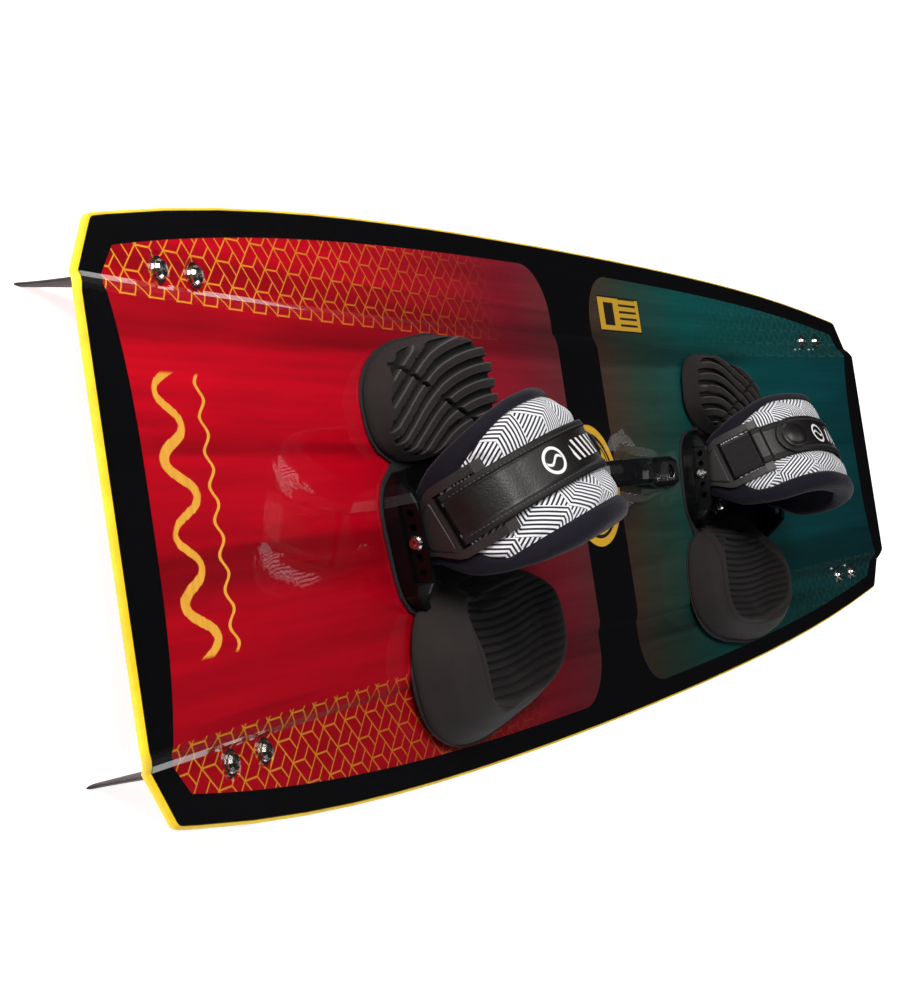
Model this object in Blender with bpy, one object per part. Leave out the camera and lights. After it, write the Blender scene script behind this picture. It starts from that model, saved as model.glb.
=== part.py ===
"""Kiteboard with four fins, a grab handle and two footstrap bindings.

Frame: metres, +Z up, X along the board, Y across it, origin on the floor plane
under the board's centre. The board lies deck up on its four fin tips.
"""
import math

import bmesh
import bpy
from mathutils import Matrix, Vector

GAP = 0.0003

# Board outline and rocker
HALF_LENGTH = 0.690
HALF_WIDTH = 0.2025
CORNER_X = 0.6637
CORNER_Y = 0.1590
TIP_HALF_FLAT = 0.1165
OUTLINE_BLEND = 0.56
TIP_SLICES = (0.6480, 0.6715)
DECK_HEIGHT = 0.0250
ROCKER = 0.0469
ROCKER_POWER = 2.238

# Raised centre panel
PANEL_HALF = 0.1165
SLOPE_WIDTH = 0.0105
SLOPE_END = PANEL_HALF + SLOPE_WIDTH
STEP_CENTRE = 0.0032
STEP_TIP = 0.0055
CHANNEL_TIP = 0.0055

# Board layers
THICK_CENTRE = 0.0098
THICK_TIP = 0.0062
DECK_THICK = 0.0016
BASE_THICK = 0.0009
RAIL_WIDTH = 0.0110
RAIL_LIP = 0.0020

# Fins and their screws
FIN_BOLT_X = (0.5655, 0.6030)
FIN_BOLT_Y = 0.1350
FIN_ROOT = (0.530, 0.640)
FIN_TIP = (0.6420, 0.6575)
FIN_FLANGE_HALF = 0.0065
FIN_FLANGE_SHARE = 0.17
FIN_BLADE_HALF = 0.0040
FIN_TIP_HALF = 0.0014
DIMPLE_RADIUS = 0.0105
DIMPLE_FLOOR_RADIUS = 0.0088
DIMPLE_DEPTH = 0.0009
WASHER_RADIUS = 0.0078
WASHER_THICK = 0.0012
SCREW_RADIUS = 0.0030
SCREW_HOLE_RADIUS = 0.0034
FIN_SCREW_HEAD = (0.0060, 0.0038)
FIN_SCREW_REACH = 0.0130

# Grab handle
HANDLE_HALF = 0.1720
HANDLE_FOOT_IN = 0.1250
HANDLE_RISE = 0.0330
HANDLE_HALF_WIDTH = 0.0115
HANDLE_FOOT_HALF = 0.0145
HANDLE_THICK = 0.0080
HANDLE_SCREW_X = 0.1500
HANDLE_Y = 0.0020

# Bindings
BINDING_X = 0.283
BINDING_Y = -0.026
STANCE_DEG = 8.5
GASKET_TOP = 0.0030
GASKET_CLEAR = 0.0005
GASKET_LIP = 0.0025
BED_BASE = GASKET_TOP + GAP
TOE = dict(o=0.008, t=0.095, out=0.084, inn=0.081, fwd=0.044, back=0.040, n_out=2.5, n_in=2.9)
HEEL = dict(o=0.0, t=-0.088, out=0.1045, inn=0.1045, fwd=0.048, back=0.059, n_out=2.25, n_in=2.8)
WING = dict(o=0.0, t=0.006, out=0.0975, inn=0.0975, fwd=0.054, back=0.054, n_out=4.0, n_in=4.0)
CHASSIS_FLOOR = 0.0032
WALL_TOP = 0.0265
WALL_THICK = 0.0060
PIVOT_T = 0.008
PIVOT_H = 0.0200
ADJUST_HOLES = 5
ADJUST_PITCH = 0.010
PAD_SCREW_T = 0.022
PAD_SCREW_O = 0.030
PAD_SCREW_HEAD = (0.0058, 0.0036)
PAD_SCREW_REACH = 0.0120
INSERT_HALF = (0.0480, 0.0105)

# Strap arch, measured in its own leaning plane
STRAP_LEAN_DEG = 21.0
ARCH_HALF = 0.0815
ARCH_RISE = 0.0940
ARCH_POWER = 2.4
STRAP_THICK = 0.0090
STRAP_HALF_WIDTH = 0.0530
STRAP_FOOT_HALF = 0.0125
BAND_HALF = 0.0185
BAND_THICK = 0.0015
TAB_THICK = 0.0040
TAB_HALF = 0.0265
TAB_SLOT = (0.0220, 0.0540)
TAB_END = 0.0620
FLAP_THICK = 0.0018
FLAP_START = 0.0035
FLAP_TAIL = 0.0750

MATERIALS = {
    "core_wood": ((0.62, 0.44, 0.25), 0.0, 0.7),
    "rail_abs": ((0.90, 0.62, 0.02), 0.0, 0.35),
    "deck_print": ((0.35, 0.01, 0.03), 0.0, 0.08),
    "base_print": ((0.02, 0.02, 0.025), 0.0, 0.15),
    "fin_plastic": ((0.02, 0.02, 0.02), 0.0, 0.35),
    "stainless": ((0.75, 0.74, 0.72), 1.0, 0.2),
    "black_steel": ((0.03, 0.03, 0.03), 1.0, 0.35),
    "brass_insert": ((0.72, 0.53, 0.22), 1.0, 0.35),
    "handle_plastic": ((0.015, 0.015, 0.018), 0.0, 0.12),
    "gasket_rubber": ((0.10, 0.09, 0.10), 0.0, 0.6),
    "chassis_plastic": ((0.012, 0.012, 0.014), 0.0, 0.12),
    "eva_foam": ((0.055, 0.045, 0.045), 0.0, 0.9),
    "strap_neoprene": ((0.04, 0.035, 0.06), 0.0, 0.9),
    "tab_plastic": ((0.09, 0.075, 0.075), 0.0, 0.4),
    "band_leatherette": ((0.02, 0.02, 0.02), 0.0, 0.5),
}


def clear_scene():
    for obj in list(bpy.data.objects):
        bpy.data.objects.remove(obj, do_unlink=True)
    for mesh in list(bpy.data.meshes):
        bpy.data.meshes.remove(mesh)


def make_materials():
    made = {}
    for name, (colour, metallic, roughness) in MATERIALS.items():
        mat = bpy.data.materials.new(name)
        mat.use_nodes = True
        shader = mat.node_tree.nodes["Principled BSDF"]
        shader.inputs["Base Color"].default_value = (*colour, 1.0)
        shader.inputs["Metallic"].default_value = metallic
        shader.inputs["Roughness"].default_value = roughness
        made[name] = mat
    return made


def smooth_step(value):
    value = min(1.0, max(0.0, value))
    return value * value * (3.0 - 2.0 * value)


# ---------------------------------------------------------------- mesh helpers
def finish(name, bm, material, sharp_deg=32.0):
    """Turn a bmesh into a named object with outward faces and smooth shading."""
    bmesh.ops.recalc_face_normals(bm, faces=bm.faces)
    limit = math.radians(sharp_deg)
    for face in bm.faces:
        face.smooth = True
    for edge in bm.edges:
        edge.smooth = len(edge.link_faces) == 2 and edge.calc_face_angle(0.0) < limit
    mesh = bpy.data.meshes.new(name)
    bm.to_mesh(mesh)
    bm.free()
    obj = bpy.data.objects.new(name, mesh)
    bpy.context.scene.collection.objects.link(obj)
    mesh.materials.append(material)
    return obj


def loft(rings, cap_start=True, cap_end=True):
    """Closed rings of points joined by quads, with flat or pointed ends."""
    bm = bmesh.new()
    rows = [[bm.verts.new(p) for p in ring] for ring in rings]
    for lower, upper in zip(rows, rows[1:]):
        if len(upper) == 1:
            for i in range(len(lower)):
                bm.faces.new((lower[i], lower[(i + 1) % len(lower)], upper[0]))
            continue
        for i in range(len(lower)):
            j = (i + 1) % len(lower)
            bm.faces.new((lower[i], lower[j], upper[j], upper[i]))
    if cap_start and len(rows[0]) > 1:
        bm.faces.new(list(reversed(rows[0])))
    if cap_end and len(rows[-1]) > 1:
        bm.faces.new(rows[-1])
    return bm


def cell_solid(rows, columns, solid, position):
    """Plate of grid cells: position(row, column, side) gives both skins."""
    bm = bmesh.new()
    verts = {}

    def vert(i, j, side):
        key = (i, j, side)
        if key not in verts:
            verts[key] = bm.verts.new(position(i, j, side))
        return verts[key]

    def inside(i, j):
        return 0 <= i < rows - 1 and 0 <= j < columns - 1 and solid(i, j)

    for i in range(rows - 1):
        for j in range(columns - 1):
            if not inside(i, j):
                continue
            corners = ((i, j), (i + 1, j), (i + 1, j + 1), (i, j + 1))
            bm.faces.new([vert(a, b, 1) for a, b in corners])
            bm.faces.new([vert(a, b, 0) for a, b in reversed(corners)])
            sides = (
                (not inside(i - 1, j), (i, j + 1), (i, j)),
                (not inside(i + 1, j), (i + 1, j), (i + 1, j + 1)),
                (not inside(i, j - 1), (i, j), (i + 1, j)),
                (not inside(i, j + 1), (i + 1, j + 1), (i, j + 1)),
            )
            for open_side, a, b in sides:
                if open_side:
                    bm.faces.new((vert(*a, 0), vert(*b, 0), vert(*b, 1), vert(*a, 1)))
    return bm


def cut(obj, tools):
    """Subtract the tool meshes from an object and drop the tools."""
    for tool in tools:
        mod = obj.modifiers.new("cut", "BOOLEAN")
        mod.operation = "DIFFERENCE"
        mod.solver = "EXACT"
        mod.object = tool
    bake(obj, tools)


def join_solids(obj, others):
    """Unite other closed solids with an object."""
    for other in others:
        mod = obj.modifiers.new("join", "BOOLEAN")
        mod.operation = "UNION"
        mod.solver = "EXACT"
        mod.object = other
    bake(obj, others)


def bake(obj, tools):
    bpy.context.view_layer.update()
    graph = bpy.context.evaluated_depsgraph_get()
    mesh = bpy.data.meshes.new_from_object(obj.evaluated_get(graph))
    obj.modifiers.clear()
    obj.data = mesh
    mesh.name = obj.name
    while len(mesh.materials) > 1:
        mesh.materials.pop(index=len(mesh.materials) - 1)
    for tool in tools:
        bpy.data.objects.remove(tool, do_unlink=True)
    bm = bmesh.new()
    bm.from_mesh(mesh)
    bmesh.ops.remove_doubles(bm, verts=bm.verts, dist=0.000005)
    bmesh.ops.dissolve_degenerate(bm, edges=bm.edges, dist=0.000002)
    bmesh.ops.triangulate(bm, faces=bm.faces, quad_method="BEAUTY", ngon_method="BEAUTY")
    limit = math.radians(32.0)
    for face in bm.faces:
        face.smooth = True
        face.material_index = 0
    for edge in bm.edges:
        edge.smooth = len(edge.link_faces) == 2 and edge.calc_face_angle(0.0) < limit
    bm.to_mesh(mesh)
    bm.free()


def frame_matrix(origin, normal, along):
    """Frame whose Z is normal and whose X is as near to along as it can be."""
    z = Vector(normal).normalized()
    x = Vector(along)
    x = (x - z * x.dot(z)).normalized()
    y = z.cross(x)
    mat = Matrix((x, y, z)).transposed().to_4x4()
    mat.translation = Vector(origin)
    return mat


def lathe(profile, matrix, segments=16):
    """Turned solid; profile is radius, height from one axis point to the other."""
    rings = []
    for radius, height in profile:
        if radius == 0.0:
            rings.append([matrix @ Vector((0.0, 0.0, height))])
            continue
        ring = []
        for i in range(segments):
            a = 2.0 * math.pi * i / segments
            ring.append(matrix @ Vector((radius * math.cos(a), radius * math.sin(a), height)))
        rings.append(ring)
    bm = bmesh.new()
    rows = [[bm.verts.new(p) for p in ring] for ring in rings]
    for a, b in zip(rows, rows[1:]):
        for i in range(segments):
            j = (i + 1) % segments
            if len(a) == 1:
                bm.faces.new((a[0], b[j], b[i]))
            elif len(b) == 1:
                bm.faces.new((a[i], a[j], b[0]))
            else:
                bm.faces.new((a[i], a[j], b[j], b[i]))
    return bm


def cylinder(name, radius, low, high, matrix, material, segments=20):
    profile = [(0.0, low), (radius, low), (radius, high), (0.0, high)]
    return finish(name, lathe(profile, matrix, segments), material)


def washer(name, outer, inner, thick, matrix, material, segments=16):
    rings = []
    for radius, height in ((inner, 0.0), (outer, 0.0), (outer, thick), (inner, thick)):
        ring = []
        for i in range(segments):
            a = 2.0 * math.pi * i / segments
            ring.append(matrix @ Vector((radius * math.cos(a), radius * math.sin(a), height)))
        rings.append(ring)
    rings.append(rings[0])
    bm = bmesh.new()
    rows = [[bm.verts.new(p) for p in ring] for ring in rings[:-1]]
    rows.append(rows[0])
    for a, b in zip(rows, rows[1:]):
        for i in range(segments):
            j = (i + 1) % segments
            bm.faces.new((a[i], a[j], b[j], b[i]))
    return finish(name, bm, material)


def box(name, low, high, matrix, material):
    bm = bmesh.new()
    points = []
    for z in (low[2], high[2]):
        for x, y in ((low[0], low[1]), (high[0], low[1]), (high[0], high[1]), (low[0], high[1])):
            points.append(matrix @ Vector((x, y, z)))
    v = [bm.verts.new(p) for p in points]
    for quad in ((0, 3, 2, 1), (4, 5, 6, 7), (0, 1, 5, 4), (1, 2, 6, 5), (2, 3, 7, 6), (3, 0, 4, 7)):
        bm.faces.new([v[i] for i in quad])
    return finish(name, bm, material)


def cross_tool(name, span, arm, depth, matrix, material):
    """Plus-shaped prism for a cross recess, tapering with depth."""
    outline = []
    for quarter in range(4):
        turn = Matrix.Rotation(quarter * math.pi / 2.0, 3, "Z")
        for p in ((span, -arm), (span, arm), (arm, arm)):
            outline.append(turn @ Vector((p[0], p[1], 0.0)))
    low = [matrix @ Vector((p.x * 0.55, p.y * 0.55, -depth)) for p in outline]
    high = [matrix @ Vector((p.x * 1.1, p.y * 1.1, 0.003)) for p in outline]
    return finish(name, loft([low, high]), material)


def screw(name, head, shank_radius, reach, matrix, material, segments=14):
    """Pan-head screw, Z up out of the head's seat, with a cross recess."""
    head_radius, head_height = head
    profile = [
        (0.0, -reach),
        (shank_radius, -reach),
        (shank_radius, 0.0),
        (head_radius, 0.0),
        (head_radius * 0.96, head_height * 0.36),
        (head_radius * 0.74, head_height * 0.78),
        (0.0, head_height),
    ]
    obj = finish(name, lathe(profile, matrix, segments), material)
    top = matrix @ Matrix.Translation((0.0, 0.0, head_height * 0.9))
    tool = cross_tool(name + "_cross", head_radius * 0.46, head_radius * 0.12, 0.0016, top, material)
    cut(obj, [tool])
    return obj


# ---------------------------------------------------------------- board shape
def rocker(x):
    return ROCKER * (abs(x) / HALF_LENGTH) ** ROCKER_POWER


def rocker_slope(x):
    rate = ROCKER * ROCKER_POWER / HALF_LENGTH * (abs(x) / HALF_LENGTH) ** (ROCKER_POWER - 1.0)
    return math.copysign(rate, x)


def panel_drop(y):
    """Share of the step's height lost at y: 0 on the panel, 1 on the strips."""
    u = (abs(y) - PANEL_HALF) / SLOPE_WIDTH
    if u <= 0.0:
        return 0.0
    if u >= 1.0:
        return 1.0
    return 1.0 - (1.0 - u) ** 0.9 * (1.0 + 0.55 * u)


def deck_z(x, y):
    u = (x / HALF_LENGTH) ** 2
    step = STEP_CENTRE + (STEP_TIP - STEP_CENTRE) * u
    return DECK_HEIGHT + rocker(x) - step * panel_drop(y)


def base_z(x, y):
    u = (x / HALF_LENGTH) ** 2
    thick = THICK_CENTRE + (THICK_TIP - THICK_CENTRE) * u
    return DECK_HEIGHT + rocker(x) - thick - CHANNEL_TIP * u * panel_drop(y)


def half_width(x):
    u = abs(x) / CORNER_X
    bow = OUTLINE_BLEND * u ** 2 + (1.0 - OUTLINE_BLEND) * u ** 4
    return HALF_WIDTH + (CORNER_Y - HALF_WIDTH) * bow


def fillet(before, corner, after, radius, steps):
    """Arc that rounds a corner between two straight runs."""
    p0, p1, p2 = Vector(before), Vector(corner), Vector(after)
    d0 = (p0 - p1).normalized()
    d2 = (p2 - p1).normalized()
    half = d0.angle(d2) / 2.0
    reach = radius / math.tan(half)
    centre = p1 + (d0 + d2).normalized() * (radius / math.sin(half))
    start = p1 + d0 * reach - centre
    end = p1 + d2 * reach - centre
    total = start.angle_signed(end)
    points = []
    for i in range(steps + 1):
        turn = Matrix.Rotation(-total * i / steps, 2)
        points.append(centre + turn @ start)
    return points


def outline_quarter():
    """Outline from the middle of the long edge to the middle of the tip."""
    points = []
    long_steps = 11
    last_x = CORNER_X - 0.018
    for i in range(long_steps + 1):
        x = last_x * i / long_steps
        points.append(Vector((x, half_width(x))))
    corner = (CORNER_X, half_width(CORNER_X))
    kink = (HALF_LENGTH, TIP_HALF_FLAT)
    points += fillet(points[-1], corner, kink, 0.0085, 3)
    lean = (HALF_LENGTH - CORNER_X) / (corner[1] - TIP_HALF_FLAT)
    for offset in (SLOPE_WIDTH + 0.008, SLOPE_WIDTH, SLOPE_WIDTH * 0.66, SLOPE_WIDTH * 0.33):
        points.append(Vector((HALF_LENGTH - offset * lean, TIP_HALF_FLAT + offset)))
    points += fillet(corner, kink, (HALF_LENGTH, 0.0), 0.006, 2)
    for y in (PANEL_HALF - 0.008, 0.070, 0.035):
        points.append(Vector((HALF_LENGTH, y)))
    return points


def board_outline(inset):
    """Closed outline moved inward, counter-clockwise seen from above."""
    quarter = outline_quarter()
    points = [Vector((p.x, -p.y)) for p in quarter]
    points.append(Vector((HALF_LENGTH, 0.0)))
    points += [p.copy() for p in reversed(quarter)]
    points += [Vector((-p.x, p.y)) for p in quarter[1:]]
    points.append(Vector((-HALF_LENGTH, 0.0)))
    points += [Vector((-p.x, -p.y)) for p in reversed(quarter[1:])]
    moved = []
    count = len(points)
    for i in range(count):
        ahead = (points[(i + 1) % count] - points[i]).normalized()
        back = (points[i] - points[i - 1]).normalized()
        n0 = Vector((-back.y, back.x))
        n1 = Vector((-ahead.y, ahead.x))
        miter = (n0 + n1).normalized()
        if abs(points[i].x) > CORNER_X and abs(points[i].y) < SLOPE_END + 0.0085:
            shift = math.copysign(inset / abs(miter.x), -points[i].x)
            moved.append(points[i] + Vector((shift, 0.0)))
            continue
        moved.append(points[i] + miter * (inset / max(0.5, miter.dot(n0))))
    return moved


def panel_lines(fine):
    """Lengthwise lines of a sheet's grid, close together over the slope."""
    lines = [PANEL_HALF, PANEL_HALF + SLOPE_WIDTH]
    if fine:
        lines += [PANEL_HALF - 0.008, PANEL_HALF + SLOPE_WIDTH + 0.008]
        lines += [PANEL_HALF + SLOPE_WIDTH * f for f in (0.33, 0.66)]
    return [-v for v in lines] + lines


def layer(name, inset, top, bottom, stations, fine, material):
    """Sheet that fills the outline between two height functions."""
    bm = bmesh.new()
    face = [bm.verts.new((p.x, p.y, 0.0)) for p in board_outline(inset)]
    bm.faces.new(face)
    cuts = [HALF_LENGTH * (2.0 * i / stations - 1.0) for i in range(1, stations)]
    cuts += [sign * x for sign in (-1.0, 1.0) for x in TIP_SLICES]
    for x in cuts:
        slice_mesh(bm, (x, 0.0, 0.0), (1.0, 0.0, 0.0))
    for y in panel_lines(fine):
        slice_mesh(bm, (0.0, y, 0.0), (0.0, 1.0, 0.0))
    bmesh.ops.dissolve_degenerate(bm, edges=bm.edges, dist=0.00008)
    flat = list(bm.verts)
    made = bmesh.ops.extrude_face_region(bm, geom=list(bm.faces))
    upper = [g for g in made["geom"] if isinstance(g, bmesh.types.BMVert)]
    for v in upper:
        v.co.z = top(v.co.x, v.co.y)
    for v in flat:
        v.co.z = bottom(v.co.x, v.co.y)
    return finish(name, bm, material, 22.0)


def slice_mesh(bm, point, normal):
    geom = list(bm.verts) + list(bm.edges) + list(bm.faces)
    bmesh.ops.bisect_plane(bm, geom=geom, dist=0.00001, plane_co=point, plane_no=normal)


def rail(name, material):
    """Moulded edge that runs right round the core, between the two sheets."""
    edge = board_outline(0.0)
    lip = board_outline(RAIL_LIP)
    near = board_outline(RAIL_LIP * 0.35)
    inner = board_outline(RAIL_WIDTH)
    profile = (
        (inner, DECK_THICK + 2.0 * GAP, 0),
        (lip, DECK_THICK + 2.0 * GAP, 0),
        (lip, 0.00015, 0),
        (near, 0.0008, 0),
        (edge, 0.0022, 0),
        (edge, 0.0020, 1),
        (near, 0.0007, 1),
        (lip, 0.00015, 1),
        (lip, BASE_THICK + 2.0 * GAP, 1),
        (inner, BASE_THICK + 2.0 * GAP, 1),
    )
    bm = bmesh.new()
    rows = []
    for ring, offset, side in profile:
        row = []
        for p in ring:
            z = base_z(p.x, p.y) + offset if side else deck_z(p.x, p.y) - offset
            row.append(bm.verts.new((p.x, p.y, z)))
        rows.append(row)
    rows.append(rows[0])
    for a, b in zip(rows, rows[1:]):
        for i in range(len(a)):
            j = (i + 1) % len(a)
            bm.faces.new((a[i], a[j], b[j], b[i]))
    return finish(name, bm, material, 40.0)


def deck_frame(x, y, lift=0.0):
    """Frame standing on the deck at x, y, with Z along the deck's normal."""
    slope = rocker_slope(x)
    origin = Vector((x, y, deck_z(x, y)))
    mat = frame_matrix(origin, (-slope, 0.0, 1.0), (1.0, 0.0, slope))
    return mat @ Matrix.Translation((0.0, 0.0, lift))


def fin_sites():
    for end, sx in (("left", -1.0), ("right", 1.0)):
        for side, sy in (("toe", 1.0), ("heel", -1.0)):
            yield f"{end}_{side}", sx, sy


def make_fin(name, sx, sy, material):
    """Swept blade under a flange that follows the board's underside."""
    mid = 0.5 * (FIN_ROOT[0] + FIN_ROOT[1])
    seat = base_z(mid, FIN_BOLT_Y) - GAP
    slope = rocker_slope(mid)
    shares = (0.0, 0.10, FIN_FLANGE_SHARE, 0.22, 0.32, 0.46, 0.62, 0.78, 0.90, 0.97, 1.0)
    rings = []
    for k in shares:
        flange = k <= FIN_FLANGE_SHARE + 0.001
        lead = FIN_ROOT[0] + (FIN_TIP[0] - FIN_ROOT[0]) * (max(0.0, k - 0.1) / 0.9) ** 1.6
        trail = FIN_ROOT[1] + (FIN_TIP[1] - FIN_ROOT[1]) * k - 0.011 * math.sin(math.pi * k)
        if k >= 0.97:
            lead += 0.002 * (k - 0.94) / 0.06
        half = FIN_FLANGE_HALF
        power = 7.0
        if not flange:
            fade = (k - FIN_FLANGE_SHARE) / (1.0 - FIN_FLANGE_SHARE)
            half = FIN_BLADE_HALF + (FIN_TIP_HALF - FIN_BLADE_HALF) * fade
            power = 1.7
        centre = 0.5 * (lead + trail)
        reach = 0.5 * (trail - lead)
        ring = []
        for i in range(14):
            a = 2.0 * math.pi * i / 14
            c, s = math.cos(a), math.sin(a)
            x = centre + reach * math.copysign(abs(c) ** (2.0 / power), c)
            y = FIN_BOLT_Y + half * math.copysign(abs(s) ** (2.0 / power), s)
            z = (1.0 - k) * (seat + slope * (x - mid))
            ring.append((sx * x, sy * y, z))
        rings.append(ring)
    obj = finish(name, loft(rings), material, 38.0)
    tools = []
    for n, x in enumerate(FIN_BOLT_X):
        mat = deck_frame(sx * x, sy * FIN_BOLT_Y) @ Matrix.Rotation(0.37 * (n + 1), 4, "Z")
        tools.append(cylinder(f"{name}_bore{n}", SCREW_HOLE_RADIUS, -0.0155, 0.002, mat, material, 10))
    cut(obj, tools)
    return obj


def dimple_tool(name, matrix, material):
    profile = [
        (0.0, -DIMPLE_DEPTH),
        (DIMPLE_FLOOR_RADIUS, -DIMPLE_DEPTH),
        (DIMPLE_RADIUS, 0.0),
        (DIMPLE_RADIUS + 0.0022, DIMPLE_DEPTH),
        (0.0, 0.003),
    ]
    return finish(name, lathe(profile, matrix, 18), material)


def make_board(mats):
    deck = layer(
        "deck_laminate",
        RAIL_LIP + 1.5 * GAP,
        deck_z,
        lambda x, y: deck_z(x, y) - DECK_THICK,
        22,
        True,
        mats["deck_print"],
    )
    base = layer(
        "base_laminate",
        RAIL_LIP + 1.5 * GAP,
        lambda x, y: base_z(x, y) + BASE_THICK,
        base_z,
        22,
        False,
        mats["base_print"],
    )
    core = layer(
        "board_core",
        RAIL_WIDTH + GAP,
        lambda x, y: deck_z(x, y) - DECK_THICK - GAP,
        lambda x, y: base_z(x, y) + BASE_THICK + 1.5 * GAP,
        22,
        False,
        mats["core_wood"],
    )
    rail("edge_rail", mats["rail_abs"])
    deck_tools, core_tools, base_tools = [], [], []
    for site, sx, sy in fin_sites():
        make_fin(f"fin_{site}", sx, sy, mats["fin_plastic"])
        for n, x in enumerate(FIN_BOLT_X, 1):
            mat = deck_frame(sx * x, sy * FIN_BOLT_Y) @ Matrix.Rotation(0.37 * n, 4, "Z")
            deck_tools.append(dimple_tool(f"dimple_{site}_{n}", mat, mats["deck_print"]))
            for tools in (deck_tools, core_tools, base_tools):
                name = f"bore_{site}_{n}"
                tools.append(cylinder(name, SCREW_HOLE_RADIUS, -0.02, 0.004, mat, mats["core_wood"], 10))
            seat = deck_frame(sx * x, sy * FIN_BOLT_Y, -DIMPLE_DEPTH + GAP * 0.5)
            washer(
                f"fin_washer_{site}_{n}",
                WASHER_RADIUS,
                SCREW_HOLE_RADIUS,
                WASHER_THICK,
                seat,
                mats["stainless"],
            )
            top = seat @ Matrix.Translation((0.0, 0.0, WASHER_THICK + GAP * 0.3))
            screw(
                f"fin_screw_{site}_{n}",
                FIN_SCREW_HEAD,
                SCREW_RADIUS,
                FIN_SCREW_REACH,
                top,
                mats["stainless"],
            )
    add_handle(mats, deck_tools, core_tools)
    add_pad_anchors(mats, deck_tools, core_tools)
    cut(deck, deck_tools)
    cut(core, core_tools)
    cut(base, base_tools)


# ---------------------------------------------------------------- grab handle
def handle_height(x):
    """Height of the grip's underside over the deck's centre plane."""
    u = min(1.0, abs(x) / HANDLE_FOOT_IN)
    lift = HANDLE_RISE * (1.0 - smooth_step(u) ** 1.2)
    seat = DECK_HEIGHT + rocker(x) + GAP
    return max(seat, DECK_HEIGHT + rocker(HANDLE_FOOT_IN) * u ** 2 + GAP + lift)


def add_handle(mats, deck_tools, core_tools):
    stations = [-HANDLE_HALF]
    steps = 22
    for i in range(1, steps):
        stations.append(-HANDLE_HALF + 2.0 * HANDLE_HALF * i / steps)
    stations.append(HANDLE_HALF)
    rings = []
    for x in stations:
        u = abs(x) / HANDLE_HALF
        foot = smooth_step((abs(x) - HANDLE_FOOT_IN * 0.72) / 0.03)
        half = HANDLE_HALF_WIDTH + (HANDLE_FOOT_HALF - HANDLE_HALF_WIDTH) * foot
        thick = HANDLE_THICK + (0.0062 - HANDLE_THICK) * foot
        if u > 0.90:
            fade = (u - 0.90) / 0.10
            half *= 1.0 - 0.26 * fade ** 2
            thick *= 1.0 - 0.30 * fade ** 2
        low = handle_height(x)
        ring = []
        for e, f in (
            (-0.80, 0.0), (0.80, 0.0), (1.0, 0.26), (0.96, 0.70), (0.62, 0.95),
            (0.0, 1.0), (-0.62, 0.95), (-0.96, 0.70), (-1.0, 0.26),
        ):
            ring.append((x, HANDLE_Y + e * half, low + f * thick))
        rings.append(ring)
    obj = finish("handle_grip", loft(rings), mats["handle_plastic"], 40.0)
    tools = []
    for end, sx in (("left", -1.0), ("right", 1.0)):
        mat = deck_frame(sx * HANDLE_SCREW_X, HANDLE_Y)
        plastic = mats["handle_plastic"]
        tools.append(cylinder(f"hb_{end}", SCREW_HOLE_RADIUS, -0.01, 0.02, mat, plastic, 10))
        tools.append(cylinder(f"hc_{end}", 0.0066, 0.0030, 0.02, mat, plastic, 16))
        deck_tools.append(
            cylinder(f"hd_{end}", SCREW_HOLE_RADIUS, -0.006, 0.004, mat, mats["core_wood"], 10)
        )
        seat = mat @ Matrix.Translation((0.0, 0.0, 0.0030 + GAP))
        screw(f"handle_screw_{end}", (0.0056, 0.0026), SCREW_RADIUS, 0.0100, seat, mats["black_steel"])
        add_insert(f"handle_insert_{end}", sx * HANDLE_SCREW_X, HANDLE_Y, (0.0105, 0.0105), 0.0,
                   ((0.0, 0.0),), mats, core_tools)
    cut(obj, tools)


def add_insert(name, x, y, half, turn, holes, mats, core_tools):
    """Threaded block set into the core, with one bore per screw."""
    mat = deck_frame(x, y) @ Matrix.Rotation(turn, 4, "Z")
    top = -(DECK_THICK + 2.0 * GAP + 0.0003)
    thick = THICK_CENTRE + (THICK_TIP - THICK_CENTRE) * (x / HALF_LENGTH) ** 2
    low = -(thick - BASE_THICK - 2.0 * GAP - 0.0003)
    block = box(name, (-half[0], -half[1], low), (half[0], half[1], top), mat, mats["brass_insert"])
    bores = []
    for n, (a, b) in enumerate(holes):
        at = mat @ Matrix.Translation((a, b, 0.0))
        bore = cylinder(f"{name}_b{n}", SCREW_HOLE_RADIUS, -0.02, 0.01, at, mats["brass_insert"], 10)
        bores.append(bore)
    cut(block, bores)
    grow = 0.0003
    core_tools.append(
        box(
            f"{name}_pocket",
            (-half[0] - grow, -half[1] - grow, -0.02),
            (half[0] + grow, half[1] + grow, 0.01),
            mat,
            mats["core_wood"],
        )
    )


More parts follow.
